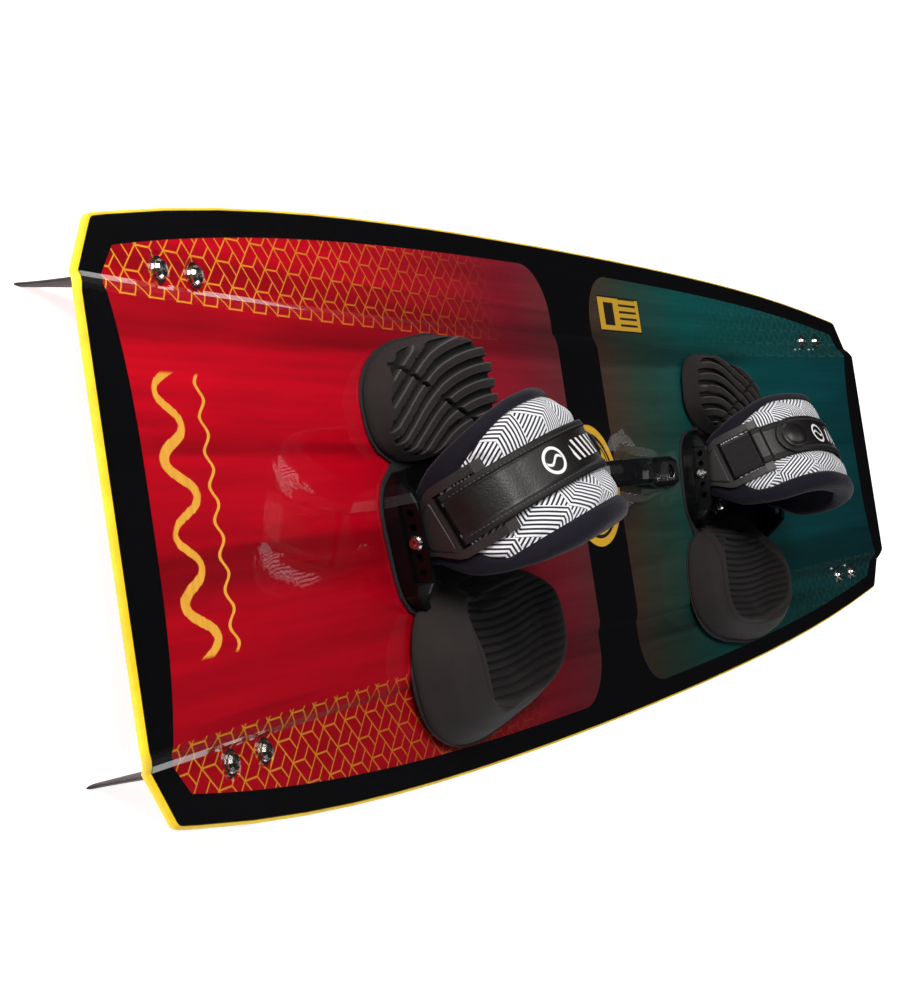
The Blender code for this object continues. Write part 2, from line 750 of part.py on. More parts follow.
# ---------------------------------------------------------------- bindings
class Binding:
    """Local frame of one binding: o outward to the tip, t to the toes, h up."""

    def __init__(self, side):
        self.sign = -1.0 if side == "left" else 1.0
        self.side = side
        turn = math.radians(STANCE_DEG)
        slope = rocker_slope(BINDING_X)
        out = Vector((math.cos(turn), -math.sin(turn), 0.0))
        toe = Vector((math.sin(turn), math.cos(turn), 0.0))
        normal = Vector((-slope, 0.0, 1.0)).normalized()
        self.out = (out - normal * out.dot(normal)).normalized()
        self.toe = (toe - normal * toe.dot(normal))
        self.toe = (self.toe - self.out * self.toe.dot(self.out)).normalized()
        self.up = normal
        self.origin = Vector((BINDING_X, BINDING_Y, DECK_HEIGHT + rocker(BINDING_X)))

    def point(self, o, t, h):
        p = self.origin + self.out * o + self.toe * t + self.up * h
        return Vector((self.sign * p.x, p.y, p.z))

    def deck_gap(self, o, t):
        """Height of the deck's curve over the binding's base plane."""
        p = self.origin + self.out * o + self.toe * t
        return (DECK_HEIGHT + rocker(p.x) - p.z) / self.up.z

    def strap_point(self, o, r, e):
        """Point of the strap's leaning frame: r up the arch, e to the toes."""
        lean = math.radians(STRAP_LEAN_DEG)
        t = PIVOT_T + r * math.sin(lean) + e * math.cos(lean)
        h = PIVOT_H + r * math.cos(lean) - e * math.sin(lean)
        return self.point(o, t, h)

    def frame(self, o, t, h):
        normal = self.point(0, 0, 1) - self.point(0, 0, 0)
        along = self.point(1, 0, 0) - self.point(0, 0, 0)
        return frame_matrix(self.point(o, t, h), normal, along)

    def side_frame(self, o, t, h, outward):
        """Frame on the pivot line whose Z points out of the binding's side."""
        normal = (self.point(outward, 0, 0) - self.point(0, 0, 0)).normalized()
        along = self.point(0, 0, 1) - self.point(0, 0, 0)
        return frame_matrix(self.point(o, t, h), normal, along)


def lobe_point(lobe, angle):
    c, s = math.cos(angle), math.sin(angle)
    power = lobe["n_out"] if c >= 0.0 else lobe["n_in"]
    half_o = lobe["out"] if c >= 0.0 else lobe["inn"]
    half_t = lobe["fwd"] if s >= 0.0 else lobe["back"]
    o = lobe["o"] + half_o * math.copysign(abs(c) ** (2.0 / power), c)
    t = lobe["t"] + half_t * math.copysign(abs(s) ** (2.0 / power), s)
    return o, t


def lobe_edge(lobe, t, outward, grow=0.0):
    """Distance of a lobe's edge from the binding's centre line at t."""
    half_t = (lobe["fwd"] if t >= lobe["t"] else lobe["back"]) + grow
    power = lobe["n_out"] if outward > 0 else lobe["n_in"]
    half_o = (lobe["out"] if outward > 0 else lobe["inn"]) + grow
    u = abs(t - lobe["t"]) / half_t
    if u >= 1.0:
        return None
    return half_o * (1.0 - u ** power) ** (1.0 / power) + outward * lobe["o"]


def gasket_edge(t, outward):
    reach = [lobe_edge(lobe, t, outward, GASKET_LIP) for lobe in (TOE, HEEL, WING)]
    reach = [r for r in reach if r is not None]
    return max(reach) if reach else 0.0


def make_gasket(binding, mats):
    """Thin rubber sole under the whole binding."""
    low = HEEL["t"] - HEEL["back"] - GASKET_LIP
    high = TOE["t"] + TOE["fwd"] + GASKET_LIP
    steps = 34
    stations = []
    for i in range(steps + 1):
        share = 0.5 - 0.5 * math.cos(math.pi * i / steps)
        share = 0.55 * share + 0.45 * i / steps
        stations.append(low + 0.0008 + (high - low - 0.0016) * share)

    def position(i, j, side):
        t = stations[i]
        o = gasket_edge(t, 1) if j else -gasket_edge(t, -1)
        h = GASKET_TOP if side else binding.deck_gap(o, t) + GASKET_CLEAR
        return binding.point(o, t, h)

    bm = cell_solid(len(stations), 2, lambda i, j: True, position)
    sole = finish(f"sole_{binding.side}", bm, mats["gasket_rubber"], 50.0)
    cut(sole, [turning_slot(binding, s, mats) for s in (1, -1)])
    return sole


def bed_rings(binding, lobe, levels, count):
    """Rings of a foam bed; each level gives inset and height by direction."""
    rings = []
    for level in levels:
        ring = []
        for i in range(count):
            a = 2.0 * math.pi * (i + 0.5) / count
            edge_o, edge_t = lobe_point(lobe, a)
            vec_o, vec_t = edge_o - lobe["o"], edge_t - lobe["t"]
            size = math.hypot(vec_o, vec_t)
            inset, height = level(math.cos(a), math.sin(a))
            keep = max(0.02, 1.0 - inset / size)
            ring.append(binding.point(lobe["o"] + vec_o * keep, lobe["t"] + vec_t * keep, height))
        rings.append(ring)
    return rings


def blend(c, s, out, inn, fwd, back):
    """Mix four directional values by the direction's weights."""
    a = c * c
    side = out if c >= 0.0 else inn
    end = fwd if s >= 0.0 else back
    return side * a + end * (1.0 - a)


def make_heel_bed(binding, mats):
    def ridge_inset(c, s):
        return blend(c, s, 0.041, 0.019, 0.017, 0.021)

    def ridge_height(c, s):
        return blend(c, s, 0.0385, 0.0350, 0.0230, 0.0300)

    levels = (
        lambda c, s: (0.0, BED_BASE),
        lambda c, s: (0.0008, BED_BASE + 0.0030),
        lambda c, s: (0.42 * ridge_inset(c, s), BED_BASE + 0.60 * (ridge_height(c, s) - BED_BASE)),
        lambda c, s: (0.84 * ridge_inset(c, s), ridge_height(c, s) - 0.0022),
        lambda c, s: (ridge_inset(c, s), ridge_height(c, s)),
        lambda c, s: (ridge_inset(c, s) + 0.006, ridge_height(c, s) - 0.0030),
        lambda c, s: (ridge_inset(c, s) + 0.015, 0.0215),
        lambda c, s: (ridge_inset(c, s) + 0.026, 0.0185),
    )
    rings = bed_rings(binding, HEEL, levels, 32)
    rings.append([binding.point(HEEL["o"] - 0.008, HEEL["t"], 0.0180)])
    return finish(f"heel_bed_{binding.side}", loft(rings), mats["eva_foam"], 60.0)


def make_toe_bed(binding, mats):
    levels = (
        lambda c, s: (0.0, BED_BASE),
        lambda c, s: (0.0008, BED_BASE + 0.0030),
        lambda c, s: (blend(c, s, 0.008, 0.005, 0.007, 0.004), 0.0165),
        lambda c, s: (blend(c, s, 0.013, 0.009, 0.011, 0.008), 0.0195),
        lambda c, s: (0.026, 0.0215),
    )
    rings = bed_rings(binding, TOE, levels, 28)
    rings.append([binding.point(TOE["o"], TOE["t"], 0.0225)])
    return finish(f"toe_bed_{binding.side}", loft(rings), mats["eva_foam"], 60.0)


def chassis_wall(binding, outward, mats):
    """Raised side wall of the chassis, swept along the wing's edge."""
    rings = []
    steps = 14
    start, end = WING["t"] - 0.0465, WING["t"] + 0.0485
    for i in range(steps + 1):
        t = start + (end - start) * i / steps
        edge = lobe_edge(WING, t, 1)
        away = abs(t - PIVOT_T)
        rise = 1.0 - smooth_step((away - 0.026) / 0.024)
        top = 0.0095 + (WALL_TOP - 0.0095) * rise
        outer_low = edge
        outer_top = edge - 0.0030 * rise
        inner = edge - 0.0030 - WALL_THICK
        mid = BED_BASE + 0.55 * (top - BED_BASE)
        section = (
            (outer_low, BED_BASE), (outer_low, BED_BASE + 0.003), (outer_low - 0.0008 * rise, mid),
            (outer_top, top - 0.0012), (outer_top - 0.0012, top),
            (inner + 0.0008, top), (inner, top - 0.0008), (inner, BED_BASE),
        )
        rings.append([binding.point(outward * o, t, h) for o, h in section])
    return finish(f"wall_{binding.side}_{outward}", loft(rings), mats["chassis_plastic"])


def chassis_floor(binding, mats):
    steps = 12
    low = WING["t"] - WING["back"] + 0.0135
    high = WING["t"] + WING["fwd"] - 0.0060
    stations = [low + (high - low) * i / steps for i in range(steps + 1)]

    def position(i, j, side):
        t = stations[i]
        o = (lobe_edge(WING, t, 1) - 0.0060) * (1 if j else -1)
        return binding.point(o, t, BED_BASE + (CHASSIS_FLOOR if side else GAP))

    bm = cell_solid(len(stations), 2, lambda i, j: True, position)
    return finish(f"chassis_{binding.side}", bm, mats["chassis_plastic"])


def make_chassis(binding, mats):
    """Plastic base plate with two walls, adjustment holes and turning slots."""
    body = chassis_floor(binding, mats)
    walls = [chassis_wall(binding, outward, mats) for outward in (1, -1)]
    join_solids(body, walls)
    tools = []
    for outward in (1, -1):
        mat = binding.side_frame(0.0, PIVOT_T, PIVOT_H, outward)
        low, high = (-0.0065, -0.0265, 0.0925), (0.0090, 0.0265, 0.12)
        tools.append(box(f"recess_{outward}", low, high, mat, mats["chassis_plastic"]))
        for k in range(ADJUST_HOLES):
            t = PIVOT_T + (k - (ADJUST_HOLES - 1) / 2) * ADJUST_PITCH
            at = binding.side_frame(0.0, t, PIVOT_H, outward)
            tools.append(
                cylinder(f"hole_{outward}_{k}", 0.0029, 0.080, 0.11, at, mats["chassis_plastic"], 8)
            )
    tools += [turning_slot(binding, s, mats) for s in (1, -1)]
    cut(body, tools)
    return body


def turning_slot(binding, sign, mats):
    """Curved slot round a mounting screw, centred on the binding's middle."""
    radius = math.hypot(PAD_SCREW_O, PAD_SCREW_T)
    base = math.atan2(PAD_SCREW_T * sign, PAD_SCREW_O * sign)
    swing = math.radians(13.0)
    steps = 5
    half = 0.0038

    def position(i, j, side):
        a = base - swing + 2.0 * swing * i / steps
        r = radius + (half if j else -half)
        h = 0.010 if side else -0.002
        return binding.point(r * math.cos(a), PIVOT_T + r * math.sin(a), h)

    bm = cell_solid(steps + 1, 2, lambda i, j: True, position)
    return finish(f"slot_{binding.side}_{sign}", bm, mats["chassis_plastic"])


def pad_screw_site(binding, sign):
    return PAD_SCREW_O * sign, PIVOT_T + PAD_SCREW_T * sign


def add_pad_anchors(mats, deck_tools, core_tools):
    """Insert block, clamping plate and two screws that hold each binding."""
    for side in ("left", "right"):
        binding = Binding(side)
        centre = binding.point(0.0, PIVOT_T, 0.0)
        sites = [pad_screw_site(binding, s) for s in (1, -1)]
        plate_h = BED_BASE + CHASSIS_FLOOR + GAP
        make_clamp_plate(binding, plate_h, mats)
        locals_ = []
        base = deck_frame(centre.x, centre.y).inverted()
        for n, (o, t) in enumerate(sites, 1):
            seat = binding.frame(o, t, plate_h + 0.0020 + GAP)
            name = f"pad_screw_{side}_{n}"
            screw(name, PAD_SCREW_HEAD, SCREW_RADIUS, PAD_SCREW_REACH, seat, mats["stainless"])
            at = binding.frame(o, t, 0.0)
            bore = cylinder(f"pd_{side}_{n}", SCREW_HOLE_RADIUS, -0.006, 0.004, at, mats["core_wood"], 10)
            deck_tools.append(bore)
            spot = base @ binding.point(o, t, 0.0)
            locals_.append((spot.x, spot.y))
        turn = math.atan2(locals_[0][1] - locals_[1][1], locals_[0][0] - locals_[1][0])
        spin = Matrix.Rotation(-turn, 2)
        holes = [tuple(spin @ Vector(p)) for p in locals_]
        name = f"pad_insert_{side}"
        add_insert(name, centre.x, centre.y, INSERT_HALF, turn, holes, mats, core_tools)


def make_clamp_plate(binding, low, mats):
    """Rounded steel plate under both mounting screws."""
    length = math.hypot(PAD_SCREW_O, PAD_SCREW_T)
    turn = math.atan2(PAD_SCREW_T, PAD_SCREW_O)
    outline = []
    for i in range(24):
        a = 2.0 * math.pi * i / 24
        u = 0.0092 * math.cos(a) + math.copysign(length, math.cos(a))
        v = 0.0092 * math.sin(a)
        o = u * math.cos(turn) - v * math.sin(turn)
        t = u * math.sin(turn) + v * math.cos(turn)
        outline.append((o, PIVOT_T + t))
    rings = [[binding.point(o, t, low + h) for o, t in outline] for h in (0.0, 0.0020)]
    plate = finish(f"clamp_plate_{binding.side}", loft(rings), mats["stainless"])
    bores = []
    for n, s in enumerate((1, -1)):
        o, t = pad_screw_site(binding, s)
        at = binding.frame(o, t, low)
        bores.append(cylinder(f"cp_{n}", SCREW_HOLE_RADIUS, -0.002, 0.005, at, mats["stainless"], 10))
    cut(plate, bores)
    return plate


# ---------------------------------------------------------------- footstrap
class Arch:
    """Arc-length table of the strap's outer curve from one pivot to the other."""

    def __init__(self):
        self.points = []
        count = 240
        for i in range(count + 1):
            a = math.pi * i / count
            c, s = math.cos(a), math.sin(a)
            o = ARCH_HALF * math.copysign(abs(c) ** (2.0 / ARCH_POWER), c)
            r = ARCH_RISE * max(0.0, s) ** (2.0 / ARCH_POWER)
            self.points.append((o, r))
        self.lengths = [0.0]
        for a, b in zip(self.points, self.points[1:]):
            self.lengths.append(self.lengths[-1] + math.dist(a, b))
        self.total = self.lengths[-1]

    def at(self, s):
        """Position and outward normal at arc length s; straight beyond the ends."""
        if s < 0.0:
            return (ARCH_HALF, s), (1.0, 0.0)
        if s > self.total:
            return (-ARCH_HALF, self.total - s), (-1.0, 0.0)
        reach = 0.004
        here = self.lookup(s)
        a = self.lookup(max(0.0, s - reach))
        b = self.lookup(min(self.total, s + reach))
        size = math.dist(a, b)
        return here, ((b[1] - a[1]) / size, -(b[0] - a[0]) / size)

    def lookup(self, s):
        low, high = 0, len(self.lengths) - 1
        while high - low > 1:
            mid = (low + high) // 2
            if self.lengths[mid] <= s:
                low = mid
            else:
                high = mid
        span = self.lengths[high] - self.lengths[low]
        f = (s - self.lengths[low]) / span if span > 0.0 else 0.0
        a, b = self.points[low], self.points[high]
        return (a[0] + (b[0] - a[0]) * f, a[1] + (b[1] - a[1]) * f)

    def place(self, binding, s, e, d):
        (o, r), (no, nr) = self.at(s)
        return binding.strap_point(o + no * d, r + nr * d, e)


def strap_half(arch, s):
    """Half width of the padded strap, narrow and round at its two feet."""
    near = min(s, arch.total - s)
    if near < 0.0:
        return math.sqrt(max(0.0, STRAP_FOOT_HALF ** 2 - near ** 2) + 1e-8)
    return STRAP_FOOT_HALF + (STRAP_HALF_WIDTH - STRAP_FOOT_HALF) * smooth_step(near / 0.052)


def make_strap_pad(binding, arch, mats):
    """Padded cushion that arches over the foot."""
    stations = [-0.0105, -0.0085, -0.0048, 0.0]
    steps = 22
    for i in range(1, steps):
        stations.append(arch.total * i / steps)
    stations += [arch.total + v for v in (0.0, 0.0048, 0.0085, 0.0105)]
    rings = []
    for s in stations:
        half = strap_half(arch, s)
        ring = []
        for e, d in (
            (-0.86, 0.0), (0.0, 0.0), (0.86, 0.0), (0.97, -0.22), (1.0, -0.5), (0.97, -0.78),
            (0.86, -1.0), (0.0, -1.0), (-0.86, -1.0), (-0.97, -0.78), (-1.0, -0.5), (-0.97, -0.22),
        ):
            ring.append(arch.place(binding, s, e * half, d * STRAP_THICK))
        rings.append(ring)
    return finish(f"strap_pad_{binding.side}", loft(rings), mats["strap_neoprene"], 50.0)


def tab_half(s):
    if s < 0.0:
        return math.sqrt(max(0.0, 0.0125 ** 2 - s ** 2) + 1e-8)
    return 0.0125 + (TAB_HALF - 0.0125) * smooth_step(s / 0.024) ** 0.8


def make_tab(binding, arch, where, mats):
    """Moulded strap end: pivot eye, slotted frame and cross bar."""
    stations = [-0.0112, -0.0090, -0.0050, 0.0, 0.0060, 0.0120, 0.0170]
    stations += [TAB_SLOT[0], 0.0300, 0.0380, 0.0460, TAB_SLOT[1], TAB_END]
    columns = (-1.0, -0.76, -0.735, 0.0, 0.735, 0.76, 1.0)
    slot_rows = [i for i, s in enumerate(stations) if TAB_SLOT[0] <= s < TAB_SLOT[1]]
    bar_row = stations.index(TAB_SLOT[1])
    under = BAND_THICK + 2.0 * GAP

    def solid(i, j):
        return i not in slot_rows or j in (0, 5)

    def position(i, j, side):
        s = stations[i]
        e = columns[j] * tab_half(s)
        low = GAP
        if i >= bar_row and 2 <= j <= 4:
            low = under
        high = TAB_THICK if side else low
        if side and i >= bar_row:
            high = TAB_THICK + 0.0004
        along = s if where == "outer" else arch.total - s
        return arch.place(binding, along, e, high)

    bm = cell_solid(len(stations), len(columns), solid, position)
    obj = finish(f"tab_{where}_{binding.side}", bm, mats["tab_plastic"], 40.0)
    outward = 1 if where == "outer" else -1
    at = binding.side_frame(0.0, PIVOT_T, PIVOT_H, outward)
    cut(obj, [cylinder("tab_bore", 0.0029, 0.070, 0.10, at, mats["tab_plastic"], 10)])
    seat = binding.side_frame(outward * (0.0925 + GAP), PIVOT_T, PIVOT_H, outward)
    name = f"tab_screw_{where}_{binding.side}"
    screw(name, (0.0052, 0.0034), 0.0025, 0.0100, seat, mats["stainless"], 14)
    return obj


def make_band(binding, arch, mats):
    """Lower closure band that runs over the cushion between the two tabs."""
    low, high = TAB_SLOT[0] + 0.0015, arch.total - TAB_SLOT[0] - 0.0015
    steps = 22
    stations = [low + (high - low) * i / steps for i in range(steps + 1)]

    def position(i, j, side):
        e = BAND_HALF * (1 if j else -1)
        return arch.place(binding, stations[i], e, GAP + (BAND_THICK if side else 0.0))

    bm = cell_solid(len(stations), 2, lambda i, j: True, position)
    return finish(f"band_{binding.side}", bm, mats["band_leatherette"], 50.0)


def flap_lift(s):
    """Height of the flap's underside over the cushion along its run."""
    seat = BAND_THICK + 2.0 * GAP
    over = TAB_THICK + 0.0004 + GAP
    rise = smooth_step((s - TAB_SLOT[0] - 0.006) / 0.020)
    fall = 1.0 - smooth_step((s - TAB_END - 0.002) / 0.018)
    return seat + (over - seat) * min(rise, fall)


def make_flap(binding, arch, mats):
    """Closure flap folded back over the band, with a round free end."""
    low, high = TAB_SLOT[0] + FLAP_START, arch.total - FLAP_TAIL
    straight = high - BAND_HALF
    steps = 22
    stations = [low + (straight - low) * i / steps for i in range(steps + 1)]
    stations += [straight + BAND_HALF * f for f in (0.35, 0.65, 0.86, 0.975)]

    def position(i, j, side):
        s = stations[i]
        past = max(0.0, s - straight) / BAND_HALF
        e = BAND_HALF * math.sqrt(1.0 - past ** 2) * (1 if j else -1)
        return arch.place(binding, s, e, flap_lift(s) + (FLAP_THICK if side else 0.0))

    bm = cell_solid(len(stations), 2, lambda i, j: True, position)
    return finish(f"flap_{binding.side}", bm, mats["band_leatherette"], 50.0)


def set_origins(names, point):
    """Put the origins of the named objects on their joint's axis."""
    for name in names:
        obj = bpy.data.objects[name]
        obj.data.transform(Matrix.Translation(-point))
        obj.location = point


def make_binding(side, mats):
    binding = Binding(side)
    arch = Arch()
    make_gasket(binding, mats)
    make_chassis(binding, mats)
    make_toe_bed(binding, mats)
    make_heel_bed(binding, mats)
    make_strap_pad(binding, arch, mats)
    make_tab(binding, arch, "outer", mats)
    make_tab(binding, arch, "inner", mats)
    make_band(binding, arch, mats)
    make_flap(binding, arch, mats)
    turning = ("sole", "chassis", "toe_bed", "heel_bed")
    swinging = ("strap_pad", "tab_outer", "tab_inner", "tab_screw_outer", "tab_screw_inner", "band")
    fold = arch.place(binding, TAB_SLOT[0] + FLAP_START, 0.0, BAND_THICK + GAP)
    set_origins([f"{n}_{side}" for n in turning], binding.point(0.0, PIVOT_T, 0.0))
    set_origins([f"{n}_{side}" for n in swinging], binding.point(0.0, PIVOT_T, PIVOT_H))
    set_origins([f"flap_{side}"], fold)


def main():
    clear_scene()
    mats = make_materials()
    make_board(mats)
    make_binding("left", mats)
    make_binding("right", mats)


main()
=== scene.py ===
"""Looks of the kiteboard: print, foam, fabric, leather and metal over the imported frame.

Local binding frame: o runs outward to the board's tip, t to the toes, h up from the deck.
Strap frame: s is the length along the arch from the outer pivot, e to the toes, d outward.
"""
import math

import bpy
import numpy as np
from mathutils import Matrix, Vector


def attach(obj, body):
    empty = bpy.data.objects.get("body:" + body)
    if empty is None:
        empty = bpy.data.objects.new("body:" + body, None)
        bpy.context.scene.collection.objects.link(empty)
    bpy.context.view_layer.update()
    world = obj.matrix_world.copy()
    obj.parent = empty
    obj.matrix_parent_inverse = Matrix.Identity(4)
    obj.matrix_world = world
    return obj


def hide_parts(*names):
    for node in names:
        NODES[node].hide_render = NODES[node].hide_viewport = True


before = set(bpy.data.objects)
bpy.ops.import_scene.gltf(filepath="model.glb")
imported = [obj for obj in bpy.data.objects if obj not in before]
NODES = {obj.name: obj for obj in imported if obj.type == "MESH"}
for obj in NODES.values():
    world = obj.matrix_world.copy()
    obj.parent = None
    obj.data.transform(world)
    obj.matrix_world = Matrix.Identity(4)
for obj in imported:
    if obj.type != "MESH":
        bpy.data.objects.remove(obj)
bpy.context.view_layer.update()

# Board
HALF_WIDTH = 0.2025
CORNER_X = 0.6637
CORNER_Y = 0.1590
OUTLINE_BLEND = 0.56
PANEL_HALF = 0.1165
DECK_HEIGHT = 0.0250
ROCKER = 0.0469
ROCKER_POWER = 2.238
HALF_LENGTH = 0.690
BOARD_LENGTH = 2.0 * HALF_LENGTH

# Print on the deck
BORDER = 0.0185
PANEL_GAP_HALF = 0.0410
PANEL_ROUND = 0.046
TIP_X = 0.6535
SHOULDER_X = 0.6680
SHOULDER_Y = 0.118
TOE_CUBES = dict(x=-0.6240, y=0.1464, wide=0.0284, high=0.01465)
HEEL_CUBES = dict(x=-0.5773, y=-0.1330, wide=0.0279, high=0.01430)
WAVE_PITCH = 0.0385
WAVE_X, THIN_WAVE_X = -0.6205, -0.5870
WAVE_SPAN = 0.0765
PLATE_X, PLATE_Y = 0.1090, 0.1500
PLATE_HALF_X, PLATE_HALF_Y = 0.0463, 0.0163
DISC_X, DISC_Y, DISC_RADIUS = -0.0100, -0.0040, 0.0525

# Bindings, as in the CAD
BINDING_X = 0.283
BINDING_Y = -0.026
STANCE_DEG = 8.5
BED_BASE = 0.0033
TOE = dict(o=0.008, t=0.095, out=0.084, inn=0.090, fwd=0.044, back=0.040, n_out=2.5, n_in=2.9)
HEEL = dict(o=0.0, t=-0.088, out=0.1050, inn=0.1060, fwd=0.066, back=0.058, n_out=2.55, n_in=2.8)
PIVOT_T = 0.008
PIVOT_H = 0.0200
STRAP_LEAN_DEG = 21.0
ARCH_HALF = 0.0815
ARCH_RISE = 0.0940
ARCH_POWER = 2.4
STRAP_THICK = 0.0090
BAND_HALF = 0.0185
BAND_THICK = 0.0015
TAB_THICK = 0.0040
TAB_SLOT = (0.0220, 0.0540)
TAB_END = 0.0620
FLAP_THICK = 0.0018
FLAP_START = 0.0035
FLAP_TAIL = 0.0750
GAP = 0.0003

# Ribs of the beds: circles about a point beside the bed
HEEL_RIBS = dict(o=-0.045, t=0.243, pitch=0.0062, depth=0.0017)
TOE_RIBS = dict(o=-0.047, t=-0.111, pitch=0.0116, depth=0.0042, first=0.2270)

# Mesh density
AROUND = 440
DENSE = 420
RIBBON_COLS = 27

# Camera, fitted to the board's corners and screws in the photo
CAMERA_PLACE = (-1.3423, -0.0384, 0.6227)
CAMERA_SPIN = (0.1438, -0.0324, -0.0509)
CAMERA_TILT_DEG = 31.0
SENSOR_MM = 36.0
LENS_FACTOR = 1.7045

# Lamps: name, place, target, size, power, colour
LAMPS = (
    ("key", (-1.55, 1.15, 1.75), (-0.30, 0.02, 0.0), (1.0, 1.0), 50.0, (1.0, 0.98, 0.95)),
    ("side", (0.35, -1.70, 0.75), (0.15, -0.10, 0.0), (1.8, 0.35), 6.0, (0.92, 0.92, 1.0)),
    ("top", (0.20, 0.55, 2.10), (0.10, 0.0, 0.0), (1.6, 0.5), 9.0, (1.0, 1.0, 1.0)),
    ("strip", (-1.80, 0.85, 0.85), (0.0, 0.0, 0.03), (0.22, 0.9), 7.0, (1.0, 1.0, 1.0)),
)
FLOOR_SPAN = 14.0
FLOOR_DROP = 0.0002


# ------------------------------------------------------------ shader helpers
class V:
    """A node socket that can be added, subtracted and multiplied."""

    def __init__(self, net, sock):
        self.net = net
        self.sock = sock

    def __add__(self, other):
        return self.net.math("ADD", self, other)

    __radd__ = __add__

    def __sub__(self, other):
        return self.net.math("SUBTRACT", self, other)

    def __rsub__(self, other):
        return self.net.math("SUBTRACT", other, self)

    def __mul__(self, other):
        return self.net.math("MULTIPLY", self, other)

    __rmul__ = __mul__


class Net:
    """One material's node tree, with short calls for the nodes used here."""

    def __init__(self, name):
        self.mat = bpy.data.materials.new(name)
        self.mat.use_nodes = True
        self.tree = self.mat.node_tree
        self.bsdf = self.tree.nodes["Principled BSDF"]
        self.pos = self.coords("Object")

    def node(self, kind, *values, **named):
        """New node, with its first inputs given in order and others by name."""
        count = len(self.tree.nodes)
        made = self.tree.nodes.new("ShaderNode" + kind)
        made.location = (-220 - 180 * (count % 14), 300 - 160 * (count // 14))
        for sock, value in zip(made.inputs, values):
            self.put(sock, value)
        for key, value in named.items():
            self.put(made.inputs[key], value)
        return made

    def put(self, sock, value):
        if isinstance(value, V):
            self.tree.links.new(value.sock, sock)
        elif isinstance(value, bpy.types.NodeSocket):
            self.tree.links.new(value, sock)
        else:
            sock.default_value = value

    def math(self, op, a, b=0.0, c=0.0, clamp=False):
        made = self.node("Math", a, b, c)
        made.operation = op
        made.use_clamp = clamp
        return V(self, made.outputs[0])

    def absf(self, a):
        return self.math("ABSOLUTE", a)

    def minf(self, a, b):
        return self.math("MINIMUM", a, b)

    def maxf(self, a, b):
        return self.math("MAXIMUM", a, b)

    def power(self, a, b):
        return self.math("POWER", a, b)

    def sine(self, a):
        return self.math("SINE", a)

    def length(self, a, b):
        return self.math("SQRT", a * a + b * b)

    def edge(self, value, width):
        """0 below zero and 1 above it, with a soft edge."""
        return self.math("MULTIPLY_ADD", value, 1.0 / width, 0.5, clamp=True)

    def line(self, value, half, width):
        """1 where the value is within half of zero, with soft edges."""
        return self.edge(half - self.absf(value), width)

    def coords(self, kind):
        return self.node("TexCoord").outputs[kind]

    def split(self, sock):
        return [V(self, out) for out in self.node("SeparateXYZ", sock).outputs]

    def join(self, x, y, z=0.0):
        return self.node("CombineXYZ", x, y, z).outputs[0]

    def noise(self, scale, detail=2.0, rough=0.5, distort=0.0, at=None):
        made = self.node("TexNoise", Scale=scale, Detail=detail, Roughness=rough, Distortion=distort)
        self.put(made.inputs["Vector"], self.pos if at is None else at)
        return V(self, made.outputs["Fac"])

    def streaks(self, x, y, detail, rough, distort=0.0, z=0.0):
        """Noise drawn out along an axis by the scaled coordinates given."""
        return self.noise(1.0, detail, rough, distort, self.join(x, y, z))

    def voronoi(self, scale):
        return V(self, self.node("TexVoronoi", Vector=self.pos, Scale=scale).outputs["Distance"])

    def ramp(self, fac, stops):
        made = self.node("ValToRGB", fac)
        ramp = made.color_ramp
        while len(ramp.elements) < len(stops):
            ramp.elements.new(0.5)
        for element, (at, colour) in zip(ramp.elements, stops):
            element.position = at
            element.color = (*colour, 1.0)
        return V(self, made.outputs[0])

    def mix(self, fac, a, b):
        made = self.node("Mix", fac)
        made.data_type = "RGBA"
        for sock, value in ((made.inputs[6], a), (made.inputs[7], b)):
            self.put(sock, (*value, 1.0) if isinstance(value, tuple) else value)
        return V(self, made.outputs[2])

    def tint(self, colour, factor):
        """Colour times a grey factor."""
        made = self.node("VectorMath", colour)
        made.operation = "SCALE"
        self.put(made.inputs["Scale"], factor)
        return V(self, made.outputs[0])

    def bump(self, height, distance, strength=1.0, below=None):
        made = self.node("Bump", Strength=strength, Distance=distance, Height=height)
        if below is not None:
            self.put(made.inputs["Normal"], below)
        return made.outputs[0]

    def shade(self, colour, rough, normal=None, **constants):
        self.put(self.bsdf.inputs["Base Color"], colour)
        self.put(self.bsdf.inputs["Roughness"], rough)
        if normal is not None:
            self.put(self.bsdf.inputs["Normal"], normal)
        for key, value in constants.items():
            self.bsdf.inputs[key.replace("_", " ")].default_value = value
        return self.mat


def hex_cell(net, x, y):
    """Offset of a point from the middle of its hexagon, for hexagons 1 wide."""
    def wrap(value, size, shift):
        return net.math("FLOORED_MODULO", value + shift, size) - size * 0.5

    high = math.sqrt(3.0)
    ax, ay = wrap(x, 1.0, 0.0), wrap(y, high, 0.0)
    bx, by = wrap(x, 1.0, 0.5), wrap(y, high, high * 0.5)
    nearer = net.math("LESS_THAN", ax * ax + ay * ay, bx * bx + by * by)
    return ax * nearer + bx * (1.0 - nearer), ay * nearer + by * (1.0 - nearer)


